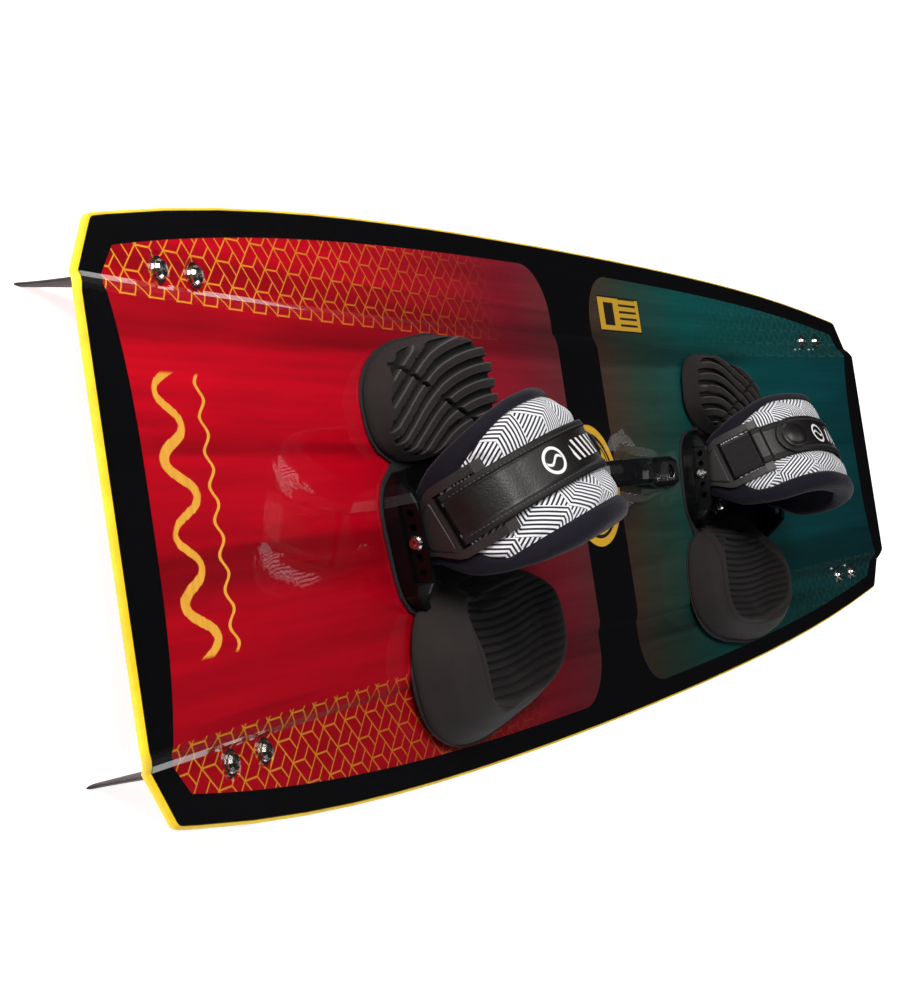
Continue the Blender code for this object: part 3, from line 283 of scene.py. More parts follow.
def cube_lines(net, px, py, x, y, wide, high):
    """Distance in metres to lines that read as stacked cubes, from a star at x, y."""
    v = (py - y) * (-1.0 / high)
    u = (px - x) * (1.0 / wide) + v * 0.5
    fu, fv = net.math("FRACT", u), net.math("FRACT", v)
    slant = wide * high / math.hypot(wide * 0.5, high)
    sides = net.minf(fu, 1.0 - fu)
    near = net.minf(sides, net.absf(fu - fv)) * slant
    flat = net.minf(fv, 1.0 - fv) * high
    near = net.minf(near, flat + net.math("GREATER_THAN", fu, 0.5))
    up = net.absf(fu - 0.5) * slant + net.math("LESS_THAN", fv, 0.5)
    down = net.absf(fu - 0.5 - fv) * slant + net.math("GREATER_THAN", fv, 0.5)
    return net.minf(near, net.minf(up, down))


# ------------------------------------------------------------ board materials
def inner_panel(net, x, y):
    """Signed distance-like value, positive inside the coloured panels."""
    ax, ay = net.absf(x), net.absf(y)
    u = ax * (1.0 / CORNER_X)
    u2 = u * u
    bow = u2 * OUTLINE_BLEND + u2 * u2 * (1.0 - OUTLINE_BLEND)
    side = HALF_WIDTH - BORDER + bow * (CORNER_Y - HALF_WIDTH) - ay
    band = ax - PANEL_GAP_HALF
    a = net.maxf(PANEL_ROUND - side, 0.0)
    b = net.maxf(PANEL_ROUND - band, 0.0)
    rounded = PANEL_ROUND - net.length(a, b)
    tip = TIP_X + net.power(ay * (1.0 / SHOULDER_Y), 3.0) * 0.0120 - ax
    chamfer = SHOULDER_X - (ay - SHOULDER_Y) * 0.85 - ax
    return net.minf(rounded, net.minf(tip, chamfer))


def panel_colour(net, x, wave):
    """Colour of the stained panels along the board, red to teal."""
    along = x * (1.0 / BOARD_LENGTH) + 0.5
    stops = (
        (0.000, (0.660, 0.000, 0.012)),
        (0.200, (0.600, 0.000, 0.012)),
        (0.330, (0.400, 0.004, 0.014)),
        (0.420, (0.250, 0.012, 0.026)),
        (0.470, (0.170, 0.030, 0.036)),
        (0.530, (0.075, 0.040, 0.026)),
        (0.590, (0.030, 0.065, 0.045)),
        (0.680, (0.002, 0.095, 0.088)),
        (0.850, (0.001, 0.074, 0.080)),
        (1.000, (0.001, 0.050, 0.062)),
    )
    return net.ramp(along + wave * 0.02 - 0.01, stops)


def vector_math(net, op, *values):
    made = net.node("VectorMath", *values)
    made.operation = op
    return made.outputs


def rocker_normal(net, x):
    """Smooth upward normal of the rocker curve, on the flat faces that follow it."""
    pace = net.power(net.absf(x) * (1.0 / HALF_LENGTH), ROCKER_POWER - 1.0)
    slope = pace * net.math("SIGN", x) * (ROCKER * ROCKER_POWER / HALF_LENGTH)
    smooth = vector_math(net, "NORMALIZE", net.join(slope * -1.0, 0.0, 1.0))[0]
    flat = net.node("NewGeometry").outputs["Normal"]
    same = V(net, vector_math(net, "DOT_PRODUCT", flat, smooth)["Value"])
    chosen = net.node("Mix")
    chosen.data_type = "VECTOR"
    values = (net.math("GREATER_THAN", same, 0.9990), flat, smooth)
    for index, value in zip((0, 4, 5), values):
        net.put(chosen.inputs[index], value)
    return chosen.outputs[1]


def make_deck():
    net = Net("deck_print_look")
    x, y, _ = net.split(net.pos)
    streak = net.streaks(x * 2.2, y * 34.0, 3.0, 0.55)
    fine = net.streaks(x * 9.0, y * 210.0, 3.0, 0.6)
    cloud = net.streaks(x * 3.0, y * 5.0, 2.0, 0.5)
    dark = net.streaks(x * 1.3 + 7.0, y * 21.0, 2.0, 0.45, 0.6)
    band = net.streaks(x * 3.2 + 3.0, y * 75.0, 3.0, 0.6, 0.4)
    strength = 0.42 + streak * 0.62 + (fine - 0.5) * 0.34 + (band - 0.5) * 0.42
    knots = 1.0 - net.edge(dark - 0.60, 0.12) * 0.42
    # painted light: the panels are brighter toward the toe side (+y) and darker toward the heel side (-y)
    lit = 0.98 + net.minf(net.maxf(y * 2.2, -0.36), 0.16)
    panel = net.tint(panel_colour(net, x, cloud), strength * knots * lit)

    # gold cube lines on the side strips, set out apart on each side
    low = net.math("LESS_THAN", y, 0.0)
    wob_x = x + (net.noise(40.0, 1.0) - 0.5) * 0.0005
    toe_line = cube_lines(net, wob_x, y, **TOE_CUBES)
    line = toe_line * (1.0 - low) + cube_lines(net, wob_x, y, **HEEL_CUBES) * low
    ink = net.edge(0.00052 - line, 0.00030)
    strip = net.edge(net.absf(y) - PANEL_HALF, 0.0006)
    left_fade = net.math("MULTIPLY_ADD", x, -2.6, -0.36, clamp=True)
    right_fade = net.math("MULTIPLY_ADD", x, 1.1, -0.22, clamp=True) * 0.30
    fade = net.maxf(left_fade, right_fade)
    worn = 0.62 + net.noise(60.0, 3.0) * 0.6
    stops = ((0.0, (0.90, 0.36, 0.02)), (0.45, (0.60, 0.18, 0.02)), (0.75, (0.30, 0.38, 0.05)))
    # painted shade: the gold is 30% darker on the heel side, like the panels
    gold = net.tint(net.ramp(x * (1.0 / BOARD_LENGTH) + 0.5, stops), 1.0 - low * 0.30)
    panel = net.mix(ink * strip * net.minf(fade * worn, 1.0), panel, gold)

    # brushed gold waves across the left end
    drag = net.streaks(x * 260.0, y * 34.0, 3.0, 0.6)
    turn = 2.0 * math.pi / WAVE_PITCH
    swing = net.sine(y * turn)
    sway = net.sine(y * (turn * 0.5) + 0.8)
    lean = net.sine(y * (turn * 0.5) - 0.4)
    big = net.absf(x - WAVE_X - swing * 0.0125 - sway * 0.0030)
    thick = 0.0034 + net.power(net.absf(net.math("COSINE", y * turn)), 2.0) * 0.0034 + lean * 0.0012
    wave = net.edge(thick - big + (drag - 0.5) * 0.0040, 0.0008)
    thin = net.absf(x - THIN_WAVE_X - net.sine(y * (turn * 2.0)) * 0.0035)
    wave2 = net.edge(0.0016 - thin + (drag - 0.5) * 0.0012, 0.0005)
    within = net.line(y, WAVE_SPAN, 0.002)
    motif = net.maxf(wave, wave2) * within
    panel = net.mix(motif, panel, net.tint((0.90, 0.42, 0.05), 0.70 + drag * 0.5))

    # small gold plate with plain bars
    sx = PLATE_HALF_X - net.absf(x - PLATE_X)
    sy = PLATE_HALF_Y - net.absf(y - PLATE_Y)
    plate = net.edge(net.minf(sx, sy), 0.0004)
    face = net.edge(net.minf(sx, sy) - 0.0014, 0.0004)
    bars = net.math("FLOORED_MODULO", y - 0.0008, 0.0062) - 0.0031
    bar = net.line(bars, 0.0011, 0.0004) * net.line(x - 0.128, 0.019, 0.0004)
    slab = net.edge(0.0105 - net.maxf(net.absf(x - 0.0860), net.absf(y - PLATE_Y)), 0.0004)
    sticker = net.mix(face, (0.01, 0.01, 0.01), (0.62, 0.36, 0.03))
    sticker = net.mix(net.maxf(bar, slab) * face, sticker, (0.02, 0.015, 0.01))
    panel = net.mix(plate, panel, sticker)

    # black border, with a gold disc of plain rings between the feet
    border = net.tint((0.0016, 0.0013, 0.0018), 0.7 + fine * 0.6)
    inside = net.edge(inner_panel(net, x, y), 0.0005)
    colour = net.mix(inside, border, panel)
    dx, dy = x - DISC_X, y - DISC_Y
    dist = net.length(dx, dy)
    spoke = net.sine(net.math("ARCTAN2", dy, dx) * 12.0)
    outer, inner = net.line(dist - 0.0440, 0.0016, 0.0004), net.line(dist - 0.0400, 0.0009, 0.0004)
    star = net.edge(0.0235 + spoke * 0.0045 - dist, 0.0005) * net.edge(dist - 0.0120, 0.0005)
    disc = net.tint((0.72, 0.40, 0.03), 0.8 + fine * 0.4)
    disc = net.mix(net.maxf(net.maxf(outer, inner), star), disc, (0.012, 0.010, 0.010))
    colour = net.mix(net.edge(DISC_RADIUS - dist, 0.0004), colour, disc)

    peel = net.noise(55.0)
    normal = net.bump(peel, 0.00035, 0.35, rocker_normal(net, x))
    net.put(net.bsdf.inputs["Coat Normal"], normal)
    return net.shade(
        colour,
        0.30 + streak * 0.15,
        normal,
        Coat_Weight=1.0,
        Coat_Roughness=0.03,
        Coat_IOR=1.5,
        Specular_IOR_Level=0.08,
    )


def make_base():
    net = Net("base_print_look")
    x, y, _ = net.split(net.pos)
    streak = net.streaks(x * 2.0, y * 30.0, 3.0, 0.55)
    fine = net.streaks(x * 8.0, y * 180.0, 3.0, 0.6)
    panel = net.tint(panel_colour(net, x, streak), 0.35 + streak * 0.5 + fine * 0.2)
    line = cube_lines(net, x, y, -0.31, -0.12, 0.0720, 0.0370)
    fade = net.math("MULTIPLY_ADD", net.absf(x), 2.4, -0.55, clamp=True)
    panel = net.mix(net.edge(0.0010 - line, 0.0005) * fade, panel, (0.80, 0.32, 0.03))
    colour = net.mix(net.edge(inner_panel(net, x, y), 0.0005), (0.006, 0.006, 0.007), panel)
    scratch = net.streaks(x * 12.0, y * 900.0, 2.0, 0.6)
    peel = net.noise(60.0)
    return net.shade(
        colour,
        0.22 + scratch * 0.22,
        net.bump(peel, 0.0003, 0.3),
        Coat_Weight=0.8,
        Coat_Roughness=0.08,
    )


def make_rail():
    net = Net("rail_abs_look")
    mottle = net.noise(26.0, 4.0, 0.6)
    fine = net.noise(420.0, 3.0, 0.6)
    stops = ((0.25, (0.70, 0.40, 0.004)), (0.55, (0.92, 0.60, 0.006)), (0.80, (1.0, 0.70, 0.012)))
    colour = net.tint(net.ramp(mottle, stops), 0.90 + fine * 0.2)
    normal = net.bump(fine, 0.00012, 0.5, net.bump(mottle, 0.0006, 0.3))
    return net.shade(colour, 0.34 + mottle * 0.22, normal, Specular_IOR_Level=0.45)


def make_wood():
    net = Net("core_wood_look")
    x, y, z = net.split(net.pos)
    strip = net.math("FLOOR", y * (1.0 / 0.018))
    shift = net.sine(strip * 12.9898) * 3.1
    grain = net.streaks(x * 4.0 + shift, y * 160.0, 4.0, 0.6, z=z * 60.0)
    stops = ((0.2, (0.30, 0.16, 0.07)), (0.6, (0.56, 0.36, 0.19)), (0.9, (0.70, 0.50, 0.30)))
    colour = net.tint(net.ramp(grain, stops), 0.9 + net.sine(strip * 7.7) * 0.1)
    return net.shade(colour, 0.65, net.bump(grain, 0.0003, 0.4))


# ------------------------------------------------------------ hard materials
def make_plastic(name, colour, rough, grain_scale, grain_depth, coat=0.0, shine=0.5):
    net = Net(name)
    grain = net.voronoi(grain_scale)
    cloud = net.noise(30.0, 3.0, 0.6)
    shade = net.tint(colour, 0.75 + cloud * 0.5)
    scuff = net.noise(160.0, 4.0, 0.7)
    return net.shade(
        shade,
        rough + scuff * 0.14 - 0.05,
        net.bump(grain, grain_depth, 0.6),
        Coat_Weight=coat,
        Coat_Roughness=0.06,
        Specular_IOR_Level=shine,
    )


def make_metal(name, colour, rough, dirt):
    net = Net(name)
    brush = net.noise(900.0, 3.0, 0.7)
    stain = net.noise(220.0, 3.0, 0.6)
    shade = net.mix(net.edge(stain - 0.62, 0.16) * dirt, colour, (0.10, 0.085, 0.075))
    return net.shade(shade, rough + brush * 0.16, net.bump(brush, 0.00004, 0.5), Metallic=1.0)


def make_rubber():
    net = Net("gasket_rubber_look")
    grain = net.noise(700.0, 3.0, 0.6)
    cloud = net.noise(45.0, 3.0, 0.6)
    colour = net.tint((0.020, 0.0165, 0.0195), 0.65 + cloud * 0.7)
    return net.shade(colour, 0.48 + grain * 0.2, net.bump(grain, 0.0001, 0.6))


# ------------------------------------------------------------ soft materials
def make_foam():
    net = Net("eva_foam_look")
    grit = net.noise(1300.0, 3.0, 0.75)
    cells = net.voronoi(1500.0)
    cloud = net.noise(34.0, 4.0, 0.6)
    # the groove attribute carries painted light: above zero, painted shade in the heel cups, rib grooves and
    # rim lines; below zero, a painted highlight along the toe ribs' edges
    groove = net.node("Attribute")
    groove.attribute_name = "groove"
    sunk = V(net, groove.outputs["Fac"])
    painted_highlight = net.maxf(sunk * -1.0, 0.0)
    sunk = net.maxf(sunk, 0.0)
    colour = net.ramp(cloud, ((0.25, (0.0150, 0.0118, 0.0112)), (0.75, (0.0240, 0.0190, 0.0178))))
    colour = net.tint(colour, 0.72 + grit * 0.56)
    # painted shade: near black where the attribute is above zero
    colour = net.mix(sunk * 0.9, colour, (0.0018, 0.0015, 0.0017))
    # painted highlight on the rib edges where the attribute is below zero
    colour = net.mix(painted_highlight, colour, (0.115, 0.105, 0.100))
    normal = net.bump(grit, 0.00022, 0.8, net.bump(cells, 0.00012, 0.5))
    rough = 0.78 + cloud * 0.12
    return net.shade(colour, rough, normal, Specular_IOR_Level=0.20, Sheen_Weight=0.03, Sheen_Roughness=0.5)


def make_cover():
    """White fabric printed with black lines that bend into cube outlines."""
    net = Net("strap_cover_look")
    s, e, _ = net.split(net.coords("UV"))
    cell, pitch = 0.0420, 0.00285
    x, y = s * (1.0 / cell) + 0.18, e * (1.0 / cell) + 0.45
    gx, gy = hex_cell(net, x, y)

    def toward(turn):
        return gx * math.cos(math.radians(turn)) + gy * math.sin(math.radians(turn))

    faces = [toward(turn) for turn in (30.0, 150.0, 270.0)]
    top = net.math("GREATER_THAN", faces[2], net.maxf(faces[0], faces[1]))
    left = net.math("GREATER_THAN", faces[1], faces[0]) * (1.0 - top)
    right = 1.0 - top - left
    period = pitch / cell
    across = toward(0.0) * left + toward(60.0) * top + toward(120.0) * right
    band = net.math("FLOORED_MODULO", across, period) * (1.0 / period)
    black = net.line(band - 0.5, 0.240, 0.07)
    yarn = 2.0 * math.pi / 0.00055
    weave = net.sine(s * yarn) * net.sine(e * yarn)
    fuzz = net.noise(2600.0, 3.0, 0.7, at=net.join(s, e))
    soil = net.noise(60.0, 3.0, 0.6, at=net.join(s, e))
    white = net.tint((0.84, 0.84, 0.88), 0.80 + soil * 0.22 + fuzz * 0.12)
    colour = net.mix(black, white, net.tint((0.012, 0.011, 0.014), 0.6 + fuzz))
    normal = net.bump(weave * 0.5 + fuzz * 0.4, 0.00012, 0.7)
    return net.shade(colour, 0.80, normal, Sheen_Weight=0.25, Specular_IOR_Level=0.25)


def make_neoprene():
    net = Net("neoprene_look")
    s, e, _ = net.split(net.coords("UV"))
    knit = net.maxf(net.sine(s * (2.0 * math.pi / 0.0009)), net.sine(e * (2.0 * math.pi / 0.0007)))
    fuzz = net.noise(1700.0, 3.0, 0.7)
    cloud = net.noise(50.0, 3.0, 0.6)
    colour = net.tint((0.0052, 0.0038, 0.0100), 0.6 + cloud * 0.5 + fuzz * 0.3)
    normal = net.bump(knit * 0.5 + fuzz * 0.6, 0.00014, 0.8)
    return net.shade(colour, 0.82, normal, Sheen_Weight=0.12, Sheen_Roughness=0.35, Specular_IOR_Level=0.22)


def make_leather(name, colour, rough, marks=None):
    """Grained synthetic leather, with an optional plain white print."""
    net = Net(name)
    s, e, _ = net.split(net.coords("UV"))
    pores = net.voronoi(850.0)
    grain = net.noise(420.0, 4.0, 0.65)
    cloud = net.noise(40.0, 3.0, 0.6)
    shade = net.tint(colour, 0.65 + cloud * 0.5 + grain * 0.2)
    if marks:
        # ring with a wave in it, then slanted bars, by length along the arch
        ring_s, bar_low, bar_high = marks
        ds = s - ring_s
        dist = net.length(ds, e)
        ring = net.line(dist - 0.0088, 0.0011, 0.0004)
        crest = net.absf(e - net.sine(ds * (2.0 * math.pi / 0.0150)) * 0.0022)
        ring = net.maxf(ring, net.edge(0.0010 - crest, 0.0004) * net.edge(0.0072 - dist, 0.0006))
        step = net.math("FLOORED_MODULO", s + e * 0.45, 0.0088) - 0.0044
        bars = net.line(step, 0.0017, 0.0005) * net.line(e, 0.0075, 0.0006)
        bars = bars * net.edge((bar_high - bar_low) * 0.5 - net.absf(s - (bar_low + bar_high) * 0.5), 0.0004)
        worn = 0.82 + net.noise(260.0, 3.0) * 0.2
        shade = net.mix(net.maxf(ring, bars) * worn, shade, (0.88, 0.87, 0.86))
    # the rim is darker as the edge binding's own colour; the crease line inside it is darkened by painted
    # shade
    rim = net.edge(net.absf(e) - 0.0131, 0.0006)
    groove = net.edge(0.0004 - net.absf(net.absf(e) - 0.0129), 0.0004)
    shade = net.tint(shade, 1.0 - rim * 0.45 - groove * 0.5)
    height = grain - groove * 1.6
    normal = net.bump(pores, 0.00010, 0.6, net.bump(height, 0.00024, 0.7))
    return net.shade(shade, rough + grain * 0.12 + rim * 0.26, normal, Specular_IOR_Level=0.42)


def make_hook():
    net = Net("hook_patch_look")
    loops = net.voronoi(1400.0)
    fuzz = net.noise(1900.0, 3.0, 0.8)
    colour = net.tint((0.012, 0.010, 0.011), 0.4 + fuzz * 1.3)
    normal = net.bump(loops + fuzz * 0.6, 0.0006)
    return net.shade(colour, 0.95, normal, Sheen_Weight=0.3, Specular_IOR_Level=0.15)


def make_thread():
    net = Net("thread_look")
    twist = net.noise(2400.0, 2.0, 0.6)
    return net.shade(net.tint((0.060, 0.050, 0.048), 0.6 + twist), 0.6, net.bump(twist, 0.0001, 0.6))


# ------------------------------------------------------------ mesh helpers
def linked(name, data):
    obj = bpy.data.objects.new(name, data)
    bpy.context.scene.collection.objects.link(obj)
    return obj


def grid_object(name, grid, uv, materials, pick=None, groove=None):
    """Mesh over a rows x columns x 3 grid, closed round its columns and capped."""
    rows, cols = grid.shape[:2]
    verts = [tuple(p) for p in grid.reshape(-1, 3)]
    faces, corners, slots = [], [], []
    for i in range(rows - 1):
        for j in range(cols):
            k = (j + 1) % cols
            faces.append((i * cols + j, i * cols + k, (i + 1) * cols + k, (i + 1) * cols + j))
            corners.append(((i, j), (i, j + 1), (i + 1, j + 1), (i + 1, j)))
            slots.append(pick(i, j) if pick else 0)
    for row in (0, rows - 1):
        middle = len(verts)
        verts.append(tuple(grid[row].mean(axis=0)))
        for j in range(cols):
            k = (j + 1) % cols
            pair = (k, j) if row == 0 else (j, k)
            faces.append((row * cols + pair[0], row * cols + pair[1], middle))
            corners.append(((row, pair[0]), (row, pair[1]), (row, 0)))
            slots.append(pick(min(row, rows - 2), j) if pick else 0)
    mesh = bpy.data.meshes.new(name)
    mesh.from_pydata(verts, [], faces)
    layer = mesh.uv_layers.new(name="UVMap")
    flat = []
    for ring in corners:
        for i, j in ring:
            u, v = uv[i][j % cols]
            flat += [float(u), float(v)]
    layer.data.foreach_set("uv", flat)
    for material in materials:
        mesh.materials.append(material)
    mesh.polygons.foreach_set("material_index", slots)
    if groove is not None:
        values = list(groove.reshape(-1)) + [0.0] * (len(verts) - rows * cols)
        attribute = mesh.attributes.new("groove", "FLOAT", "POINT")
        attribute.data.foreach_set("value", [float(v) for v in values])
    return smooth_object(name, mesh)


def smooth_object(name, mesh):
    """Object with smooth faces turned outward, judged by the closed mesh's volume."""
    mesh.polygons.foreach_set("use_smooth", [True] * len(mesh.polygons))
    mesh.update()
    mesh.calc_loop_triangles()
    points = np.array([v.co for v in mesh.vertices])
    tris = np.array([t.vertices for t in mesh.loop_triangles])
    a, b, c = points[tris[:, 0]], points[tris[:, 1]], points[tris[:, 2]]
    if np.einsum("ij,ij->i", a, np.cross(b, c)).sum() < 0.0:
        mesh.flip_normals()
    return linked(name, mesh)


def smooth01(value):
    value = np.clip(value, 0.0, 1.0)
    return value * value * (3.0 - 2.0 * value)


class Binding:
    """Local frame of one binding, for arrays of points."""

    def __init__(self, side):
        self.side = side
        self.sign = -1.0 if side == "left" else 1.0
        turn = math.radians(STANCE_DEG)
        part = BINDING_X / HALF_LENGTH
        slope = ROCKER * ROCKER_POWER / HALF_LENGTH * part ** (ROCKER_POWER - 1.0)
        normal = Vector((-slope, 0.0, 1.0)).normalized()
        out = Vector((math.cos(turn), -math.sin(turn), 0.0))
        out = (out - normal * out.dot(normal)).normalized()
        toe = Vector((math.sin(turn), math.cos(turn), 0.0))
        toe = toe - normal * toe.dot(normal)
        toe = (toe - out * toe.dot(out)).normalized()
        self.out, self.toe, self.up = (np.array(v) for v in (out, toe, normal))
        lift = ROCKER * part ** ROCKER_POWER
        self.origin = np.array((BINDING_X, BINDING_Y, DECK_HEIGHT + lift))

    def points(self, o, t, h):
        o, t, h = (np.asarray(v, dtype=float)[..., None] for v in (o, t, h))
        p = self.origin + self.out * o + self.toe * t + self.up * h
        return p * np.array((self.sign, 1.0, 1.0))

    def strap(self, o, r, e):
        lean = math.radians(STRAP_LEAN_DEG)
        t = PIVOT_T + r * math.sin(lean) + e * math.cos(lean)
        h = PIVOT_H + r * math.cos(lean) - e * math.sin(lean)
        return self.points(o, t, h)


def run_lengths(a, b):
    """Length along a line of points, from its first point."""
    return np.concatenate(([0.0], np.cumsum(np.hypot(np.diff(a), np.diff(b)))))


class Arch:
    """Outer curve of the strap by arc length, for arrays of lengths."""

    def __init__(self):
        a = np.linspace(0.0, math.pi, 1201)
        c, s = np.cos(a), np.sin(a)
        self.o = ARCH_HALF * np.sign(c) * np.abs(c) ** (2.0 / ARCH_POWER)
        self.r = ARCH_RISE * np.clip(s, 0.0, None) ** (2.0 / ARCH_POWER)
        self.lengths = run_lengths(self.o, self.r)
        self.total = float(self.lengths[-1])

    def curve(self, s):
        o = np.interp(s, self.lengths, self.o)
        r = np.interp(s, self.lengths, self.r)
        return o, r + np.where(s < 0.0, s, 0.0) + np.where(s > self.total, self.total - s, 0.0)

    def place(self, binding, s, e, d):
        s, e, d = np.broadcast_arrays(np.asarray(s, float), np.asarray(e, float), np.asarray(d, float))
        o, r = self.curve(s)
        oa, ra = self.curve(s - 0.004)
        ob, rb = self.curve(s + 0.004)
        size = np.hypot(ob - oa, rb - ra)
        return binding.strap(o + (rb - ra) / size * d, r - (ob - oa) / size * d, e)


# ------------------------------------------------------------ foam beds
def lobe_points(lobe, angle):
    c, s = np.cos(angle), np.sin(angle)
    power = np.where(c >= 0.0, lobe["n_out"], lobe["n_in"])
    half_o = np.where(c >= 0.0, lobe["out"], lobe["inn"])
    half_t = np.where(s >= 0.0, lobe["fwd"], lobe["back"])
    o = half_o * np.sign(c) * np.abs(c) ** (2.0 / power)
    t = half_t * np.sign(s) * np.abs(s) ** (2.0 / power)
    return o, t


def mixed(angle, out, inn, fwd, back):
    c, s = np.cos(angle), np.sin(angle)
    side = np.where(c >= 0.0, out, inn)
    end = np.where(s >= 0.0, fwd, back)
    return side * c * c + end * (1.0 - c * c)


def bed_grid(lobe, levels, middle, samples, soften):
    """Rows from the middle to the base edge, one column per direction.

    Each level gives an inset from the outline and a height, as a number or by direction.
    """
    angle = 2.0 * math.pi * (np.arange(AROUND) + 0.5) / AROUND
    edge_o, edge_t = lobe_points(lobe, angle)
    size = np.hypot(edge_o, edge_t)

    def spread(value):
        return np.broadcast_to(value(angle) if callable(value) else value, angle.shape)

    insets = [spread(inset) for inset, _ in levels]
    heights = [spread(height) for _, height in levels]
    o, t, h = np.zeros((3, samples, AROUND))
    for k in range(AROUND):
        inset = np.array([v[k] for v in insets] + [size[k]])
        height = np.array([v[k] for v in heights] + [middle])
        run = run_lengths(inset, height)
        dense = np.linspace(0.0, run[-1], DENSE)
        di, dh = np.interp(dense, run, inset), np.interp(dense, run, height)
        width = max(1, int(soften / run[-1] * DENSE))
        kernel = np.ones(2 * width + 1) / (2 * width + 1)
        take = np.linspace(0.0, run[-1], samples)
        padded = [np.pad(v, width, mode="reflect", reflect_type="odd") for v in (di, dh)]
        pi, ph = (np.interp(take, dense, np.convolve(v, kernel, "valid")) for v in padded)
        keep = np.clip(1.0 - pi / size[k], 0.0, 1.0)
        o[:, k] = lobe["o"] + edge_o[k] * keep
        t[:, k] = lobe["t"] + edge_t[k] * keep
        h[:, k] = ph
    return o[::-1], t[::-1], h[::-1]


def heel_bed(binding, foam):
    def ridge(angle):
        return mixed(angle, 0.042, 0.018, 0.012, 0.018)

    def crest(angle):
        return mixed(angle, 0.0375, 0.0350, 0.0200, 0.0290)

    levels = (
        (0.0, BED_BASE),
        (0.0004, BED_BASE + 0.0030),
        (lambda a: 0.40 * ridge(a), lambda a: BED_BASE + 0.62 * (crest(a) - BED_BASE)),
        (lambda a: 0.86 * ridge(a), lambda a: crest(a) - 0.0020),
        (ridge, crest),
        (lambda a: ridge(a) + 0.006, lambda a: crest(a) - 0.0034),
        (lambda a: ridge(a) + 0.015, 0.0215),
        (lambda a: ridge(a) + 0.026, 0.0185),
    )
    o, t, h = bed_grid(HEEL, levels, 0.0180, 116, 0.0016)
    # the front comes forward beside the chassis wall only, clear of the clamping plate
    reach = 0.77 + 0.23 * smooth01((o - 0.020) / 0.030)
    t = np.where(t > HEEL["t"], HEEL["t"] + (t - HEEL["t"]) * reach, t)
    # curved ribs across the cup
    radius = np.hypot(o - HEEL_RIBS["o"], t - HEEL_RIBS["t"])
    wave = 0.5 - 0.5 * np.cos(2.0 * math.pi * radius / HEEL_RIBS["pitch"])
    sunk = smooth01((wave - 0.42) / 0.5)
    edge_o, edge_t = o - HEEL["o"], t - HEEL["t"]
    direction = np.arctan2(edge_t, edge_o)
    turns = np.linspace(-math.pi, math.pi, 721)
    lo, lt = lobe_points(HEEL, turns)
    far = np.interp(direction, np.arctan2(lt, lo)[1:-1], np.hypot(lo, lt)[1:-1], period=2.0 * math.pi)
    inset = far - np.hypot(edge_o, edge_t)
    lip = np.interp(direction, turns, ridge(turns))
    inside = smooth01((inset - lip - 0.0008) / 0.0022)
    groove = sunk * inside
    h = h - HEEL_RIBS["depth"] * groove
    # rim line round the cup, and the front of the outer flank planed down toward the toes
    rim = np.exp(-(((inset - lip + 0.0036) / 0.0006) ** 2))
    h = h - 0.0005 * rim
    crease = -0.0475 + 0.06 * (o - 0.070)
    plane = np.clip(t - crease, 0.0, None) * 0.42 * smooth01((o - 0.040) / 0.014)
    floor = BED_BASE + 0.0045
    h = np.where(h > floor, np.maximum(h - plane, floor), h)
    # painted shade for the foam's colour: the cup darker inside, darker still in its rib grooves and along
    # the rim line
    dark = np.clip(0.62 * inside + 0.4 * groove + 0.5 * rim, 0.0, 1.0)
    return finish_bed(f"heel_foam_{binding.side}", binding, (o, t, h), foam, dark)


def toe_bed(binding, foam):
    levels = (
        (0.0, BED_BASE),
        (0.0004, BED_BASE + 0.0030),
        (lambda a: mixed(a, 0.0075, 0.005, 0.006, 0.004), 0.0168),
        (lambda a: mixed(a, 0.011, 0.008, 0.009, 0.007), 0.0195),
        (0.026, 0.0216),
    )
    o, t, h = bed_grid(TOE, levels, 0.0228, 96, 0.0012)
    # stepped ribs, each with a sunk run before the next
    out = np.hypot(o - TOE_RIBS["o"], t - TOE_RIBS["t"]) - TOE_RIBS["first"]
    pitch = TOE_RIBS["pitch"]
    phase = np.mod(out, pitch) / pitch
    step = smooth01((phase - 0.50) / 0.07) * (1.0 - smooth01((phase - 0.90) / 0.09))
    # slanted gap across every rib but one
    line = (t - 0.0890 - 0.56 * o) / math.sqrt(1.0 + 0.56 ** 2)
    gap = (1.0 - smooth01((np.abs(line) - 0.0016) / 0.0006)) * (np.floor(out / pitch) != -1)
    # ribs fade out at the outer side, the front corner and the flanks
    size_t = t - TOE["t"]
    outer = smooth01((0.0815 + 0.010 * np.abs(size_t) / 0.04 * (size_t < 0) - o) / 0.0022)
    corner = smooth01((0.0985 - 0.60 * (t - 0.095) - o - 0.012) / 0.0025)
    top = smooth01((h - 0.0135) / 0.0030)
    within = outer * corner * top
    groove = np.maximum(step, gap) * within
    tilt = (np.clip(phase / 0.5, 0.0, 1.0) - 0.5) * 0.0016
    h = h - TOE_RIBS["depth"] * groove + tilt * within * (1.0 - step)
    rise = 0.0062 * smooth01((0.010 - o) / 0.075)
    h = h + rise * smooth01((h - BED_BASE - 0.0030) / 0.0100)
    # painted highlight along each rib's edge, and painted shade in the grooves, for the foam's colour
    rib_edge_highlight = np.exp(-(((phase - 0.475) / 0.040) ** 2)) * within * (1.0 - gap)
    shade = groove - 0.75 * rib_edge_highlight * (1.0 - groove)
    return finish_bed(f"toe_foam_{binding.side}", binding, (o, t, h), foam, shade)


def finish_bed(name, binding, points, foam, groove):
    """Bed from its rows; the first row has no size and is left to the cap."""
    o, t, h = (v[1:] for v in points)
    return grid_object(name, binding.points(o, t, h), np.stack((o, t), axis=-1), [foam], groove=groove[1:])


